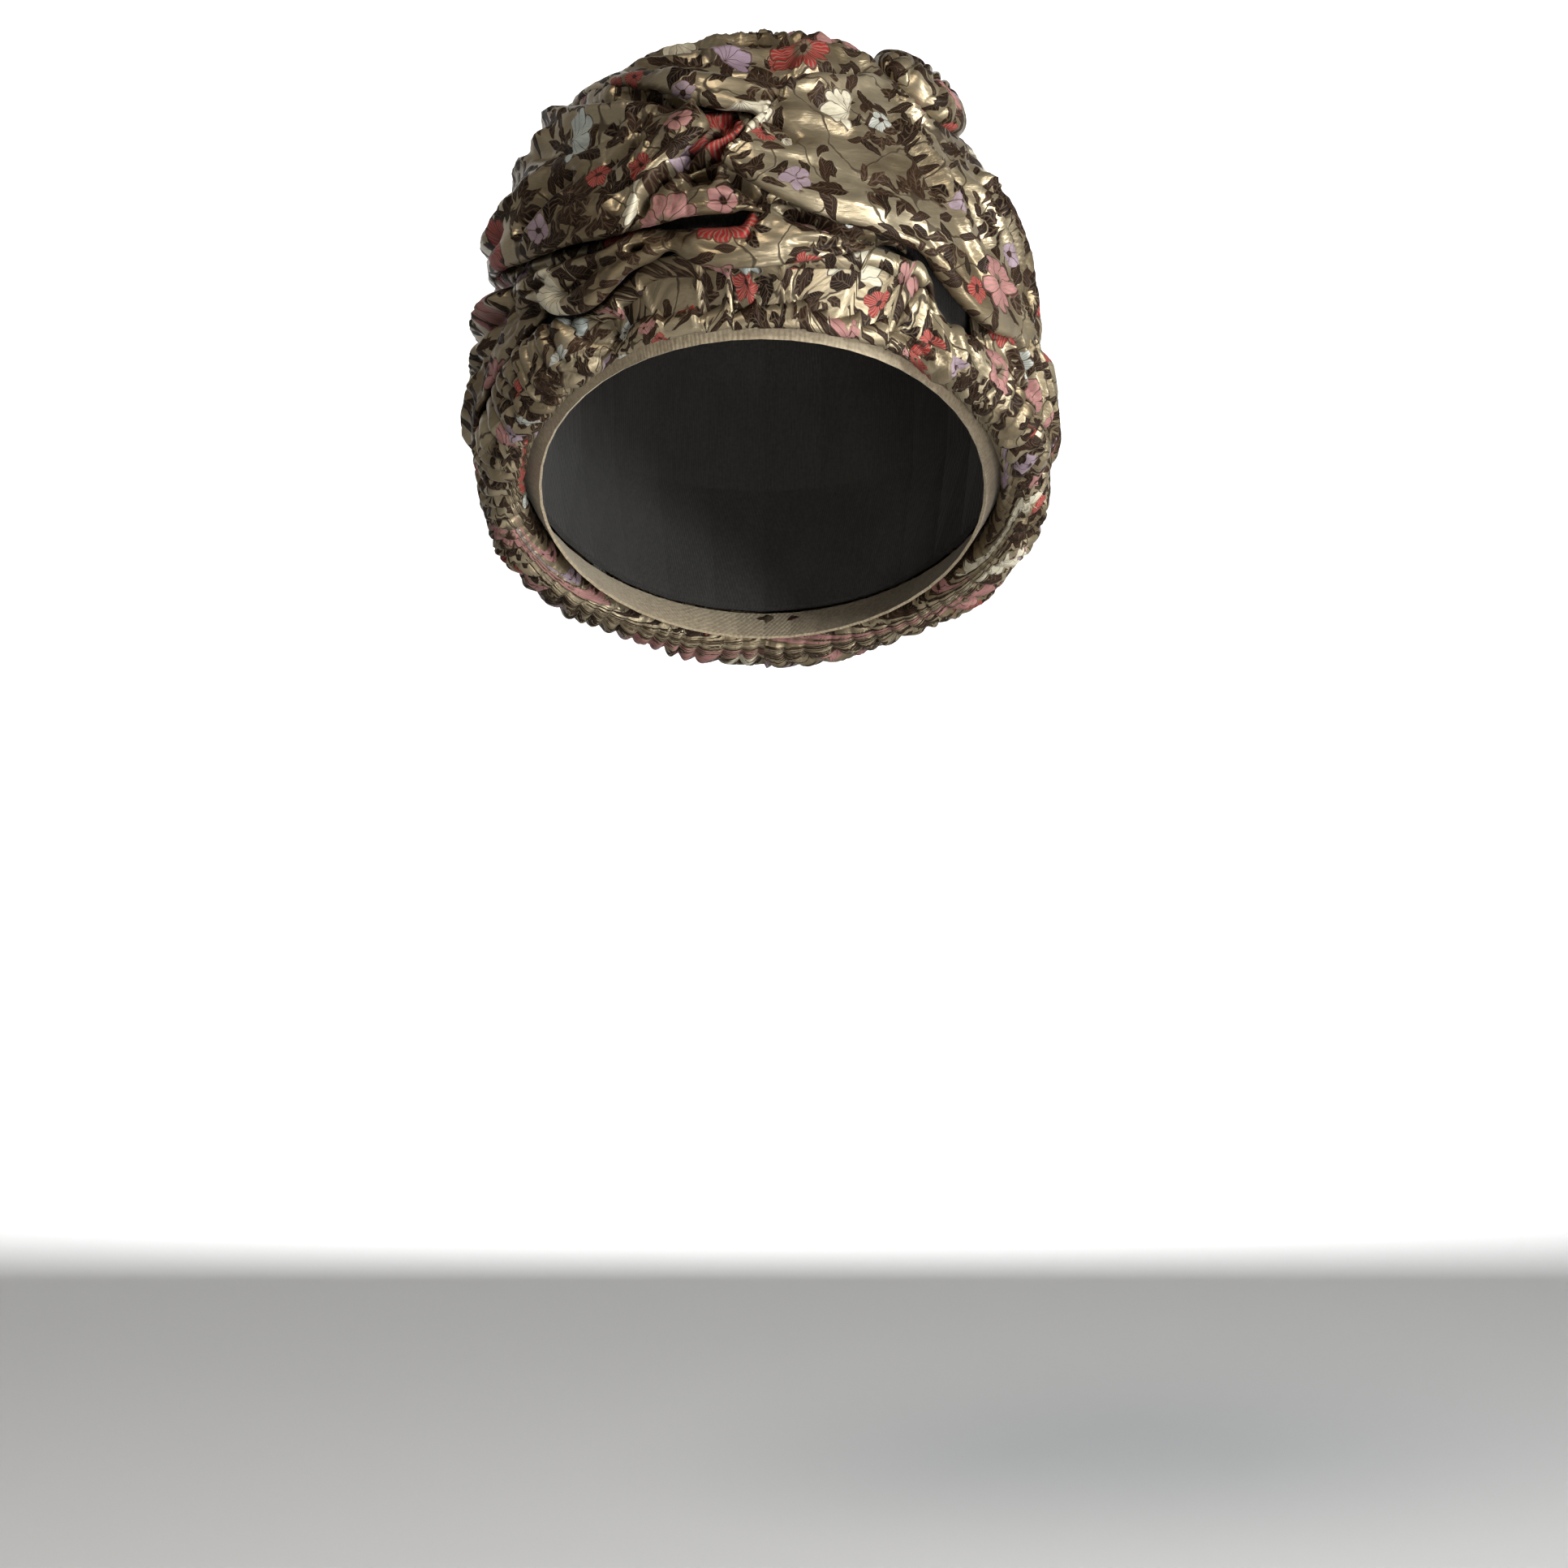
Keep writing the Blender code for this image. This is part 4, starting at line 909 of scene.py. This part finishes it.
TWIST_FOLDS = [
    Fold([(-7, 16.4), (-3.5, 13.2), (0, 10.9), (2.6, 9.8), (5.3, 8.6), (9, 7.2)], -3.2, 1.8, 1.8),
    Fold([(-20.2, 8.3), (-19.0, 12), (-15.0, 16.8), (-9.8, 21.8), (-8.4, 25.5)], -3.4, 1.4, 1.5),
    Fold([(-9, 28.4), (-5, 28.0), (-1.6, 27.4), (-1.0, 24.4), (-3.4, 20.4), (-6.4, 18.0)], -2.4, 1.2, 1.2),
    Fold([(-20.5, 9), (-20, 13), (-17, 16.5), (-12, 19), (-7, 21.2), (-2.5, 24.4), (0.5, 28)],
         3.6, 2.2, 3.4, 0.6),
    Fold([(-17.5, 14.2), (-13, 17.2), (-8, 18.9), (-3, 21)], -3.2, 1.2, 1.3),
    Fold([(-18.8, 11.0), (-18.2, 13.8), (-15.0, 15.4), (-12.6, 15.8)], 2.2, 1.5, 1.6),
    Fold([(-13, 14.8), (-10, 15.6), (-7.5, 15.2)], -4.4, 2.2, 2.4),
    Fold([(-14, 12.6), (-8, 12.0), (-2, 11.0), (2, 9.6)], 1.6, 2.6, 2.6),
    Fold([(-7.5, 17.6), (-4.0, 15.4), (0, 13.4)], 1.4, 1.4, 1.6),
    Fold([(-9, 10.4), (-3, 10.8), (1, 10.2)], -0.9, 1.0, 1.4),
    Fold([(-8.5, 21.6), (-7, 25), (-7.2, 29)], -3.0, 1.4, 1.8),
    Fold([(-5.5, 26.6), (-3.0, 26.8), (-1.6, 26.4)], 1.8, 1.8, 2.0),
    Fold([(-3.2, 22), (-1.6, 24.2), (-0.8, 26.8)], -1.0, 0.8, 0.8),
]
front_twist = add_wrap("front_twist_cloth", "front_twist", TWIST_RIBS, TWIST_FOLDS, columns=120,
                       lines=96, wrinkles=[(14, 6, 0.7), (6, 3, 0.35)], seed=131, shift=0.47)


# Left drape
# The loose brocade of the viewer's left side, held under the left wrap and sewn to the roll. It hangs in
# two soft bulges.

SIDE_RIBS = [
    Rib(-176, -48.2, -174, -18, -1.0, -2.0, 1.6),
    Rib(-160, -47.6, -160, -8, 1.0, 1.0, 1.8),
    Rib(-140, -45.2, -142, -2, 2.0, 1.6, 1.8),
    Rib(-120, -41.0, -122, 6, 2.4, 1.6, 1.8),
    Rib(-105, -36.6, -106, 9, 1.2, -0.4, 1.8),
    Rib(-92, -31.4, -94, 10, 1.0, -0.8, 1.8),
    Rib(-82, -26.8, -82, 10, 1.0, -0.8, 1.8),
    Rib(-74, -21.0, -74, 9, 1.8, 0.4, 1.8),
    Rib(-67, -17.6, -67, 8, 1.6, 0.0, 1.8),
    Rib(-61, -14.8, -61, 7, 1.4, -0.4, 1.8),
    Rib(-56, -12.4, -56, 7, 0.8, -1.0, 1.8),
    Rib(-51, -9.6, -51, 6, 0.0, -2.0, 1.6),
    Rib(-46, -6.0, -47, 6, -2.6, -3.4, 1.4),
]
SIDE_FOLDS = [
    Fold([(-60, -0.6), (-68, -1.8), (-84, -4), (-104, -6)], 4.2, 3.2, 3.8),
    Fold([(-58, 1.8), (-70, 2.2), (-90, 2.6)], -2.6, 1.8, 2.0),
    Fold([(-60, -3.8), (-70, -5.8), (-84, -9.5), (-100, -14)], -2.6, 1.6, 2.0),
    Fold([(-64, -8), (-76, -10), (-92, -15), (-112, -22)], 2.6, 3.4, 3.6),
    Fold([(-72, -14), (-84, -19), (-98, -27)], 2.4, 2.6, 3.0),
    Fold([(-70, -11.5), (-84, -15.6), (-100, -22)], -1.8, 1.2, 1.4),
    Fold([(-100, 2), (-114, -10), (-122, -30)], 2.6, 4.0, 4.6),
    Fold([(-112, -2), (-124, -14), (-132, -34)], -2.2, 2.4, 2.4),
    Fold([(-122, 0), (-138, -16), (-144, -38)], 3.2, 4.4, 5.0),
    Fold([(-138, -8), (-152, -22), (-160, -42)], 2.8, 4.4, 5.0),
]
left_drape = add_wrap("left_drape_cloth", "left_drape", SIDE_RIBS, SIDE_FOLDS, columns=200,
                      lines=52, wrinkles=[(18, 8, 1.3), (7, 4, 0.6)], seed=161, shift=0.71)


# Right gathers
# The brocade beside the roll at the viewer's right, sewn down between the roll and the top drape. It is
# drawn into narrow ropes where it was pulled through.

GATHER_RIBS = [
    Rib(44, -10.0, 44, -3, -3.0, -3.0, 1.4),
    Rib(50, -13.6, 50, -1, 0.6, 0.0, 1.6),
    Rib(56, -17.6, 56, 0, 2.6, 1.6, 1.8),
    Rib(63, -21.4, 64, 0, 2.6, 1.0, 1.8),
    Rib(72, -24.8, 73, -4, 1.6, -0.4, 1.8),
    Rib(82, -28.0, 84, -12, 0.4, -1.4, 1.8),
    Rib(92, -31.0, 94, -22, -2.0, -3.0, 1.6),
]
GATHER_FOLDS = [
    Fold([(48, -5), (52, -10), (58, -18)], 1.8, 1.2, 1.4),
    Fold([(52, -4), (57, -11), (64, -21)], 2.0, 1.2, 1.3),
    Fold([(50, -5), (55, -11), (61, -19.5)], -1.4, 0.8, 0.8),
    Fold([(57, -4), (63, -13), (70, -24)], 2.2, 1.3, 1.4),
    Fold([(60, -5), (66, -14), (74, -25)], -1.4, 0.8, 0.9),
    Fold([(63, -5), (70, -15), (79, -27)], 2.2, 1.5, 1.5),
    Fold([(70, -7), (78, -17), (86, -29)], 1.8, 1.6, 1.6),
]
right_gather = add_wrap("right_gather_cloth", "right_gather", GATHER_RIBS, GATHER_FOLDS, columns=130,
                        lines=60, wrinkles=[(6, 16, 0.8), (3, 8, 0.35)], seed=191, shift=0.83,
                        stretch=(1.5, 1.0))


# Left wrap
# The widest wrap, from the crossing round the viewer's left side to the back. Its edge is rolled into a
# thick lip, which bends up into a rounded nose beside the twist.

WRAP_RIBS = [
    Rib(-172, -22.0, -171, -6, -2.6, -2.8, 1.6),
    Rib(-158, -17.0, -158, 12, 0.6, 0.0, 2.0),
    Rib(-142, -10.0, -145, 30, 3.0, 1.6, 2.6),
    Rib(-120, 0.0, -124, 44, 1.4, -1.6, 3.2),
    Rib(-98, 4.2, -102, 52, 0.6, -3.2, 3.4),
    Rib(-80, 4.6, -82, 54, 1.6, -3.0, 3.6),
    Rib(-66, 4.3, -66, 53, 4.6, -0.4, 3.6),
    Rib(-56, 4.3, -54, 51, 6.8, 2.0, 3.6),
    Rib(-48, 4.5, -46, 49, 6.8, 2.2, 3.4),
    Rib(-40, 5.0, -40, 47, 6.8, 2.4, 3.2),
    Rib(-33, 5.7, -36, 45, 6.8, 2.8, 3.0),
    Rib(-27, 6.0, -33, 44, 6.8, 3.2, 2.8),
    Rib(-22.8, 6.8, -31, 43, 7.0, 3.6, 2.8),
    Rib(-21.2, 9.2, -30, 42.5, 7.6, 2.6, 3.4),
    Rib(-20.2, 12.4, -29, 42, 8.8, 2.2, 3.8),
    Rib(-17.6, 15.8, -28, 41.5, 9.4, 2.2, 4.2),
    Rib(-14.4, 19.2, -27, 41, 9.6, 2.2, 4.4),
    Rib(-11.2, 22.4, -26.5, 40.5, 9.2, 2.2, 4.2),
    Rib(-9.6, 25.6, -26, 40, 7.6, 2.6, 3.8),
    Rib(-11.6, 28.4, -26, 39.5, 6.0, 3.4, 3.4),
    Rib(-16.5, 31.0, -27, 39, 3.0, 1.4, 2.4),
]
WRAP_FOLDS = [
    Fold([(-40, 39.8), (-27, 36.2), (-20, 33.0), (-14, 30.2)], -2.4, 1.8, 1.8),
    Fold([(-38, 20), (-45, 13.5), (-51, 8.5)], -3.4, 1.8, 2.4),
    Fold([(-36, 16), (-42, 11.5), (-48, 7.5)], 1.6, 2.0, 2.6),
    Fold([(-46, 22), (-58, 16), (-70, 11), (-84, 9)], 2.4, 4.6, 4.2),
    Fold([(-56, 10.5), (-68, 8.4), (-84, 7.6)], -2.4, 1.8, 2.0),
    Fold([(-20, 35.5), (-30, 36), (-44, 38), (-64, 42), (-88, 44)], -2.6, 2.0, 2.2),
    Fold([(-21, 30.5), (-32, 31), (-46, 33), (-60, 36), (-74, 37)], 2.8, 3.0, 3.4),
    Fold([(-19, 25.5), (-26, 22.0), (-30, 19.0)], -1.8, 1.4, 1.8),
    Fold([(-28, 27), (-38, 25.0), (-52, 26), (-70, 30)], -1.4, 2.0, 2.4),
    Fold([(-52, 31), (-66, 28), (-84, 25)], 2.0, 3.4, 3.4),
    Fold([(-15, 22.6), (-20, 18.6), (-24.0, 13.4), (-25, 9.6)], -1.1, 1.6, 2.2),
    Fold([(-84, 17), (-108, 16), (-140, 4)], 3.0, 5.0, 5.0),
    Fold([(-92, 30), (-114, 28), (-138, 16)], 2.8, 4.4, 5.0),
    Fold([(-88, 23), (-112, 21), (-140, 10)], -2.0, 2.4, 2.4),
    Fold([(-92, 40), (-112, 38), (-132, 28)], 1.2, 4.0, 4.0),
]
left_wrap = add_wrap("left_wrap_cloth", "left_wrap", WRAP_RIBS, WRAP_FOLDS, columns=420, lines=62,
                     wrinkles=[(34, 9, 1.0), (14, 5, 0.5), (6, 3, 0.25)], seed=211, shift=0.19)


# Top drape
# The cloth over the top, the back and the viewer's right. It comes forward in one rolled lip across the
# crossing and down the right temple, and its folds fan out from under the knot. It is cut in three gores.

TOP_RIBS = [
    Rib(-180, -48.2, -180, 30, 1.5, 1.2, 1.8),
    Rib(-166, -46.5, -170, 32, 2.4, 1.2, 2.2),
    Rib(-150, -22.0, -156, 40, 3.4, 1.0, 2.4),
    Rib(-130, 8.0, -136, 56, 3.8, 0.8, 2.4),
    Rib(-114, 26.0, -118, 64, 1.6, -2.0, 2.4),
    Rib(-98, 38.5, -98, 68, -0.6, -3.6, 2.0),
    Rib(-80, 43.0, -74, 68, -0.4, -3.4, 2.0),
    Rib(-58, 43.5, -50, 66, 1.4, -3.0, 2.4),
    Rib(-40, 41.0, -34, 64, 3.8, -2.2, 2.8),
    Rib(-27, 37.2, -22, 62, 5.4, -1.6, 3.2),
    Rib(-20, 34.0, -15, 60, 6.6, -1.2, 3.4),
    Rib(-14, 31.0, -10, 58, 7.2, -0.8, 3.4),
    Rib(-9, 29.4, -6, 56, 7.2, -0.8, 3.2),
    Rib(-5, 29.0, -2, 54, 6.8, -0.8, 2.8),
    Rib(-1.6, 28.4, 3, 52, 6.0, -1.0, 2.2),
    Rib(-0.4, 26.4, 9, 50, 5.4, -1.0, 1.8),
    Rib(-1.4, 23.6, 16, 49, 5.4, -0.6, 1.8),
    Rib(-4.2, 20.6, 24, 48, 6.2, 2.0, 2.0),
    Rib(-6.8, 18.2, 32, 47, 6.8, 2.6, 2.2),
    Rib(-4.6, 15.8, 38, 46, 7.2, 2.8, 2.6),
    Rib(0, 12.9, 43, 45, 7.4, 1.6, 2.8),
    Rib(5.3, 10.3, 47, 44, 7.6, 1.6, 3.0),
    Rib(11, 8.0, 51, 43, 7.6, 1.6, 3.2),
    Rib(17.3, 6.9, 55, 42, 7.6, 1.6, 3.4),
    Rib(23.7, 5.0, 58, 40, 7.4, 1.6, 3.4),
    Rib(28.5, 3.4, 61, 38, 7.4, 1.6, 3.4),
    Rib(31.7, 0.0, 64, 36, 7.6, 1.6, 3.6),
    Rib(35, -3.2, 67, 34, 7.8, 1.6, 3.8),
    Rib(40, -6.5, 71, 33, 7.8, 1.6, 4.0),
    Rib(45, -8.5, 75, 33, 7.4, 2.4, 3.8),
    Rib(51, -9.4, 79, 34, 6.0, 1.6, 3.2),
    Rib(58, -10.4, 84, 36, 4.2, 0.6, 2.6),
    Rib(66, -14.5, 90, 38, 2.6, 0.0, 2.2),
    Rib(76, -23.0, 97, 38, 0.6, -1.2, 1.8),
    Rib(88, -30.5, 106, 38, -0.6, -2.4, 1.8),
    Rib(106, -37.5, 118, 36, -1.0, -2.8, 1.8),
    Rib(130, -44.0, 138, 33, 0.0, -1.0, 1.8),
    Rib(155, -47.6, 158, 31, 1.2, 0.8, 1.8),
    Rib(180, -48.2, 180, 30, 1.5, 1.2, 1.8),
]
KNOT_AZIMUTH, KNOT_ELEVATION = 66.0, 50.0
KNOT_WIDTH, KNOT_LENGTH, KNOT_RISE = 0.044, 0.037, 0.0095


def knot_place(turn, reach):
    """Directions round the middle of the knot, at a share of its half width and half length."""
    middle = direction(KNOT_AZIMUTH, KNOT_ELEVATION)
    side = np.cross(middle, (0, 0, 1))
    side /= np.linalg.norm(side)
    up = np.cross(side, middle)
    way = (middle + side * (reach * KNOT_WIDTH / 2 / HALF_WIDTH * np.cos(turn))[..., None]
           + up * (reach * KNOT_LENGTH / 2 / HALF_WIDTH * np.sin(turn))[..., None])
    return unit(way)


KNOT_RIM = np.stack(angles(knot_place(np.linspace(0, 2 * math.pi, 13), np.full(13, 1.04))), axis=-1)
TOP_FOLDS = [
    Fold(KNOT_RIM[:7], -2.4, 2.6, 2.6),
    Fold(KNOT_RIM[6:], -2.4, 2.6, 2.6),
    # Down the right from the knot
    Fold([(35, 43), (38, 37), (44, 32.5), (52, 28.5), (60, 24), (68, 17)], 3.2, 2.4, 2.6, -0.6),
    Fold([(40, 38), (46, 32), (53, 28), (60, 24)], -3.6, 1.5, 1.6),
    Fold([(33, 33), (34.5, 28), (37.5, 22), (39, 16), (40, 9), (43, 3), (48, -4)], 2.6, 2.6, 2.6),
    Fold([(30, 36), (32, 29), (34, 22), (35.5, 15)], -1.8, 1.6, 2.0),
    Fold([(43, 26), (46, 19), (49, 11), (50, 4)], -1.8, 2.2, 2.4),
    Fold([(56, 21), (62, 13), (66, 4), (66, -6)], 2.8, 3.0, 3.0),
    Fold([(50, 24), (55, 15), (58, 6), (57, -3)], 1.8, 2.4, 2.4),
    Fold([(60, 19), (66, 10), (70, 0), (70, -10)], -2.2, 1.8, 1.8),
    Fold([(72, 30), (80, 18), (84, 4), (84, -10)], 2.6, 3.6, 3.6),
    Fold([(52, 2), (56, -4), (62, -9)], 1.8, 1.8, 1.8),
    Fold([(24, 5.6), (31, 3.0), (37, -2)], 1.0, 1.4, 1.8),
    Fold([(21, 8.5), (27, 7.6), (33, 2.6), (39, -3.6)], -1.0, 1.4, 1.6),
    # Over the crossing
    Fold([(0.6, 27), (3.4, 25.2), (6.4, 22.6)], -3.8, 2.0, 2.4),
    Fold([(-1.0, 20.4), (5, 18.6), (12, 18.2)], -0.9, 1.6, 2.0),
    Fold([(-5, 18), (0, 15), (7, 12), (16, 10.4), (26, 8.4)], 1.1, 2.2, 2.6),
    Fold([(0.4, 31), (8, 29), (16, 28.6), (24, 31)], 1.2, 3.0, 3.4),
    Fold([(10, 34), (18, 30.6), (26, 30)], -1.2, 2.0, 2.4),
    Fold([(17, 30), (21, 22), (23, 14)], 1.0, 3.4, 3.0),
    Fold([(9, 24), (14, 16), (18, 11)], 0.9, 2.6, 2.8),
    # Over the top, from the left side to the knot
    Fold([(-26, 40), (-14, 36), (-4, 34.6), (8, 37), (22, 41), (34, 46)], 2.0, 3.0, 3.2),
    Fold([(-32, 45), (-16, 42), (0, 41.6), (18, 45), (36, 50)], -2.0, 1.8, 2.2),
    Fold([(-48, 49), (-28, 49.6), (0, 51), (26, 53), (48, 54)], 2.6, 3.8, 3.6),
    Fold([(-66, 51), (-44, 56), (-8, 58), (30, 58), (54, 57)], -1.8, 2.2, 2.2),
    Fold([(-84, 52), (-60, 62), (-20, 66), (30, 65), (62, 62)], 2.8, 4.2, 4.2),
    Fold([(-100, 56), (-90, 70), (-30, 77), (50, 72), (74, 66)], -2.0, 2.6, 2.6),
    Fold([(-110, 52), (-124, 70), (180, 84), (110, 78), (92, 66)], 2.8, 4.6, 4.6),
    # Down the back
    Fold([(100, 62), (128, 56), (152, 38), (168, 6), (172, -30)], 3.6, 6.0, 6.0),
    Fold([(98, 54), (118, 40), (134, 14), (144, -24)], 3.4, 5.4, 5.4),
    Fold([(100, 58), (124, 48), (144, 26), (156, -8), (160, -36)], -2.2, 3.0, 3.0),
    Fold([(92, 46), (102, 28), (110, 8), (114, -8)], 3.0, 4.6, 4.6),
    Fold([(96, 50), (110, 34), (122, 10), (130, -26)], -2.0, 2.6, 2.6),
    Fold([(130, 74), (166, 60), (186, 36), (192, 0), (188, -34)], 3.4, 6.0, 6.0),
    Fold([(-150, 78), (-144, 58), (-150, 30), (-160, 0), (-166, -32)], 3.0, 5.0, 5.0),
    Fold([(-140, 66), (-134, 46), (-140, 20), (-152, -8)], -2.0, 2.6, 2.6),
]
GORE_EDGES, GORE_MIDDLES = (-62, 60, 178), (0.0, 118.0, 238.0)


def add_top_drape():
    """The drape, closed round the head and drawn together at its top."""
    grid, way = lay_cloth(TOP_RIBS, TOP_FOLDS, columns=460, lines=84,
                          wrinkles=[(36, 12, 1.0), (15, 6, 0.5), (6, 3, 0.25)], seed=241, pole=True)
    grid[:, -1] = grid[:, 0]
    grid[-1] = grid[-1].mean(axis=0)
    patterns = np.stack([laid_pattern(grid, way, middle, None) for middle in GORE_MIDDLES])
    azimuth, _ = angles(unit(way[:-1, :-1] + way[1:, 1:]))
    azimuth = np.where(azimuth < GORE_EDGES[0], azimuth + 360, azimuth)
    gores = np.select([azimuth < edge for edge in GORE_EDGES[1:]], [0, 1], 2)
    cloth = satin_brocade("brocade top drape", stretch=(1.0, 1.0), shift=0.57)
    return sew("top_drape_cloth", grid, patterns, CLOTH_WALL, True, False, cloth, gores)


top_drape = add_top_drape()
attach(top_drape, "root")
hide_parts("top_drape")


# Back fold
# A loose fold of the drape's brocade, sewn down under it behind the roll. It bulges past the right
# outline.

BACK_RIBS = [
    Rib(86, -18, 90, -8, -3.0, -4.0, 1.4),
    Rib(92, -27, 94, -6, 1.6, 1.0, 1.8),
    Rib(100, -31, 100, -4, 2.8, 3.0, 2.2),
    Rib(108, -33, 108, -3, 3.0, 3.2, 2.2),
    Rib(118, -31, 116, -5, 2.8, 2.4, 2.0),
    Rib(130, -25, 124, -12, -3.0, -4.0, 1.4),
]
BACK_FOLDS = [
    Fold([(93, -7), (98, -16), (99, -28)], 1.8, 2.6, 2.6),
    Fold([(97, -6), (104, -17), (105, -30)], -1.6, 1.4, 1.4),
    Fold([(103, -5), (110, -16), (112, -28)], 1.4, 2.4, 2.4),
]
back_fold = add_wrap("back_fold_cloth", "back_fold", BACK_RIBS, BACK_FOLDS, columns=84, lines=40,
                     wrinkles=[(9, 9, 0.9), (4, 4, 0.4)], seed=271, shift=0.91)


# Top knot
# The end of the cloth, rolled up and stuffed into a fat knot high on the viewer's right. Fine gathers run
# over it into a dimple.

KNOT_SEAT, KNOT_GATHERS, GATHER_HEIGHT = 2.6 * MM, 8, 2.4 * MM
KNOT_FOLD, DIMPLE, DIMPLE_SHARPNESS, KNOT_BULGE = 1.6 * MM, 6.5 * MM, 3.4, 0.16


def add_top_knot():
    """The knot as one closed cushion."""
    columns, lines = 220, 60
    turn = np.linspace(0, 2 * math.pi, columns + 1)
    grid = []
    # Rows from the middle of its seat, out round the rim, and up over it to the dimple
    for share in np.concatenate([np.linspace(0, 1, 8, endpoint=False), np.linspace(1, 2, lines)]):
        reach = share if share < 1 else math.cos((share - 1) * math.pi / 2)
        rise = 0 if share < 1 else math.sin((share - 1) * math.pi / 2)
        twist = 2.4 * reach + 1.8 * rumple(turn * 2.0, reach * 3 + 0 * turn, 3)
        gather = np.abs(np.sin(KNOT_GATHERS * turn + twist)) ** 0.7
        relief = GATHER_HEIGHT * (gather - 0.6) * min(1.0, 3 * reach) * rise ** 0.5
        fold = KNOT_FOLD * np.cos(2 * turn + 0.8) * reach
        dimple = DIMPLE * math.exp(-(DIMPLE_SHARPNESS * reach) ** 2)
        way = knot_place(turn, np.full(columns + 1, reach * (1 + KNOT_BULGE * rise)))
        radius = form_radius(way) - KNOT_SEAT + (KNOT_RISE + 2.0 * MM) * rise ** 0.7 + relief
        if share >= 1:
            radius = radius - dimple + fold * rise
        grid.append(way * radius[:, None])
    grid = np.array(grid) - np.array([0, 0, HEAD_RISE])
    grid[:, -1] = grid[:, 0]
    grid[0] = grid[0].mean(axis=0)
    grid[-1] = grid[-1].mean(axis=0)
    cloth = satin_brocade("brocade knot", stretch=(1.0, 0.8), shift=0.37)
    return sew("top_knot_cloth", grid, arc_lengths(grid), 0, True, False, cloth)


top_knot = add_top_knot()
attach(top_knot, "root")
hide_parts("top_knot")


# Floor, light and camera
# A plain pale floor that rises into a backdrop. The hat is lit from the right front, and more weakly from
# above, the right side and below, with almost nothing from the left. The backdrop has a light of its own.

FLOOR_LEVEL, FLOOR_SIDES = -0.52, 64
# The floor is flat out to this radius, bends up round the next, and its backdrop ends at this height
FLAT_RADIUS, BEND_RADIUS, BACKDROP_TOP = 2.2, 0.8, 3.6


def add_floor():
    """The floor and its backdrop as one surface turned round the hat."""
    bend = np.linspace(0, math.pi / 2, 9)
    profile = [(r, 0.0) for r in (0.0, 0.8, 1.6)]
    profile += [(FLAT_RADIUS + BEND_RADIUS * math.sin(a), BEND_RADIUS * (1 - math.cos(a))) for a in bend]
    profile += [(FLAT_RADIUS + BEND_RADIUS, BACKDROP_TOP)]
    count = len(profile)
    turns = np.linspace(0, 2 * math.pi, FLOOR_SIDES, endpoint=False)
    points = [(r * math.sin(t), r * math.cos(t), FLOOR_LEVEL + z) for t in turns for r, z in profile]
    starts = [side * count for side in range(FLOOR_SIDES)]
    faces = [(a + k, b + k, b + k + 1, a + k + 1)
             for a, b in zip(starts, starts[1:] + starts[:1]) for k in range(count - 1)]
    mesh = bpy.data.meshes.new("floor")
    mesh.from_pydata(points, [], faces)
    weld(mesh, 1e-6, 1e-6, False)
    mesh.flip_normals()
    mesh.shade_smooth()
    material, _, shader = new_material("pale floor")
    shader.inputs["Base Color"].default_value = (0.62, 0.62, 0.62, 1)
    shader.inputs["Roughness"].default_value = 0.9
    mesh.materials.append(material)
    return set_out("floor", mesh)


def add_light(name, place, aim, size, power, colour):
    """A round lamp that shines from a place at an aim."""
    light = bpy.data.lights.new(name, "AREA")
    light.shape = "DISK"
    light.size = size
    light.energy = power
    light.color = colour
    lamp = set_out(name, light)
    lamp.location = place
    way = np.array(place) - np.array(aim)
    lamp.rotation_euler = (math.atan2(math.hypot(way[0], way[1]), way[2]), 0, math.atan2(way[0], -way[1]))


add_floor()
HAT_MIDDLE = (0, 0, -0.09)
for lamp_settings in (
        ("key light", (1.15, -1.0, 0.3), HAT_MIDDLE, 0.32, 26, (0.97, 0.98, 0.98)),
        ("top light", (-0.4, -0.9, 0.95), HAT_MIDDLE, 0.5, 9.5, (1.0, 0.92, 0.82)),
        ("side light", (1.2, -0.75, -0.3), HAT_MIDDLE, 0.3, 15, (0.88, 0.95, 1.0)),
        ("bounce light", (0.3, -0.75, -0.48), HAT_MIDDLE, 0.25, 3.6, (0.97, 0.98, 1.0)),
        ("fill light", (-1.3, -0.8, 0.3), HAT_MIDDLE, 0.4, 0.2, (0.92, 0.96, 1.0)),
        ("backdrop light", (0.0, 1.2, 0.5), (0, 3.0, 0.1), 1.0, 58, (1.0, 1.0, 1.0))):
    add_light(*lamp_settings)
world = bpy.data.worlds.new("studio")
world.use_nodes = True
world.node_tree.nodes["Background"].inputs[0].default_value = (0.95, 0.97, 1.0, 1)
world.node_tree.nodes["Background"].inputs[1].default_value = 0.008
bpy.context.scene.world = world
bpy.context.scene.view_settings.view_transform = "Standard"

lens = bpy.data.cameras.new("camera")
lens.lens = 96.6
lens.sensor_width = 36
lens.clip_start = 0.05
camera = set_out("camera", lens)
camera.location = (0.007, -1.4, -HEAD_RISE - 0.1582)
camera.rotation_euler = (math.pi / 2, 0, 0)
bpy.context.scene.camera = camera
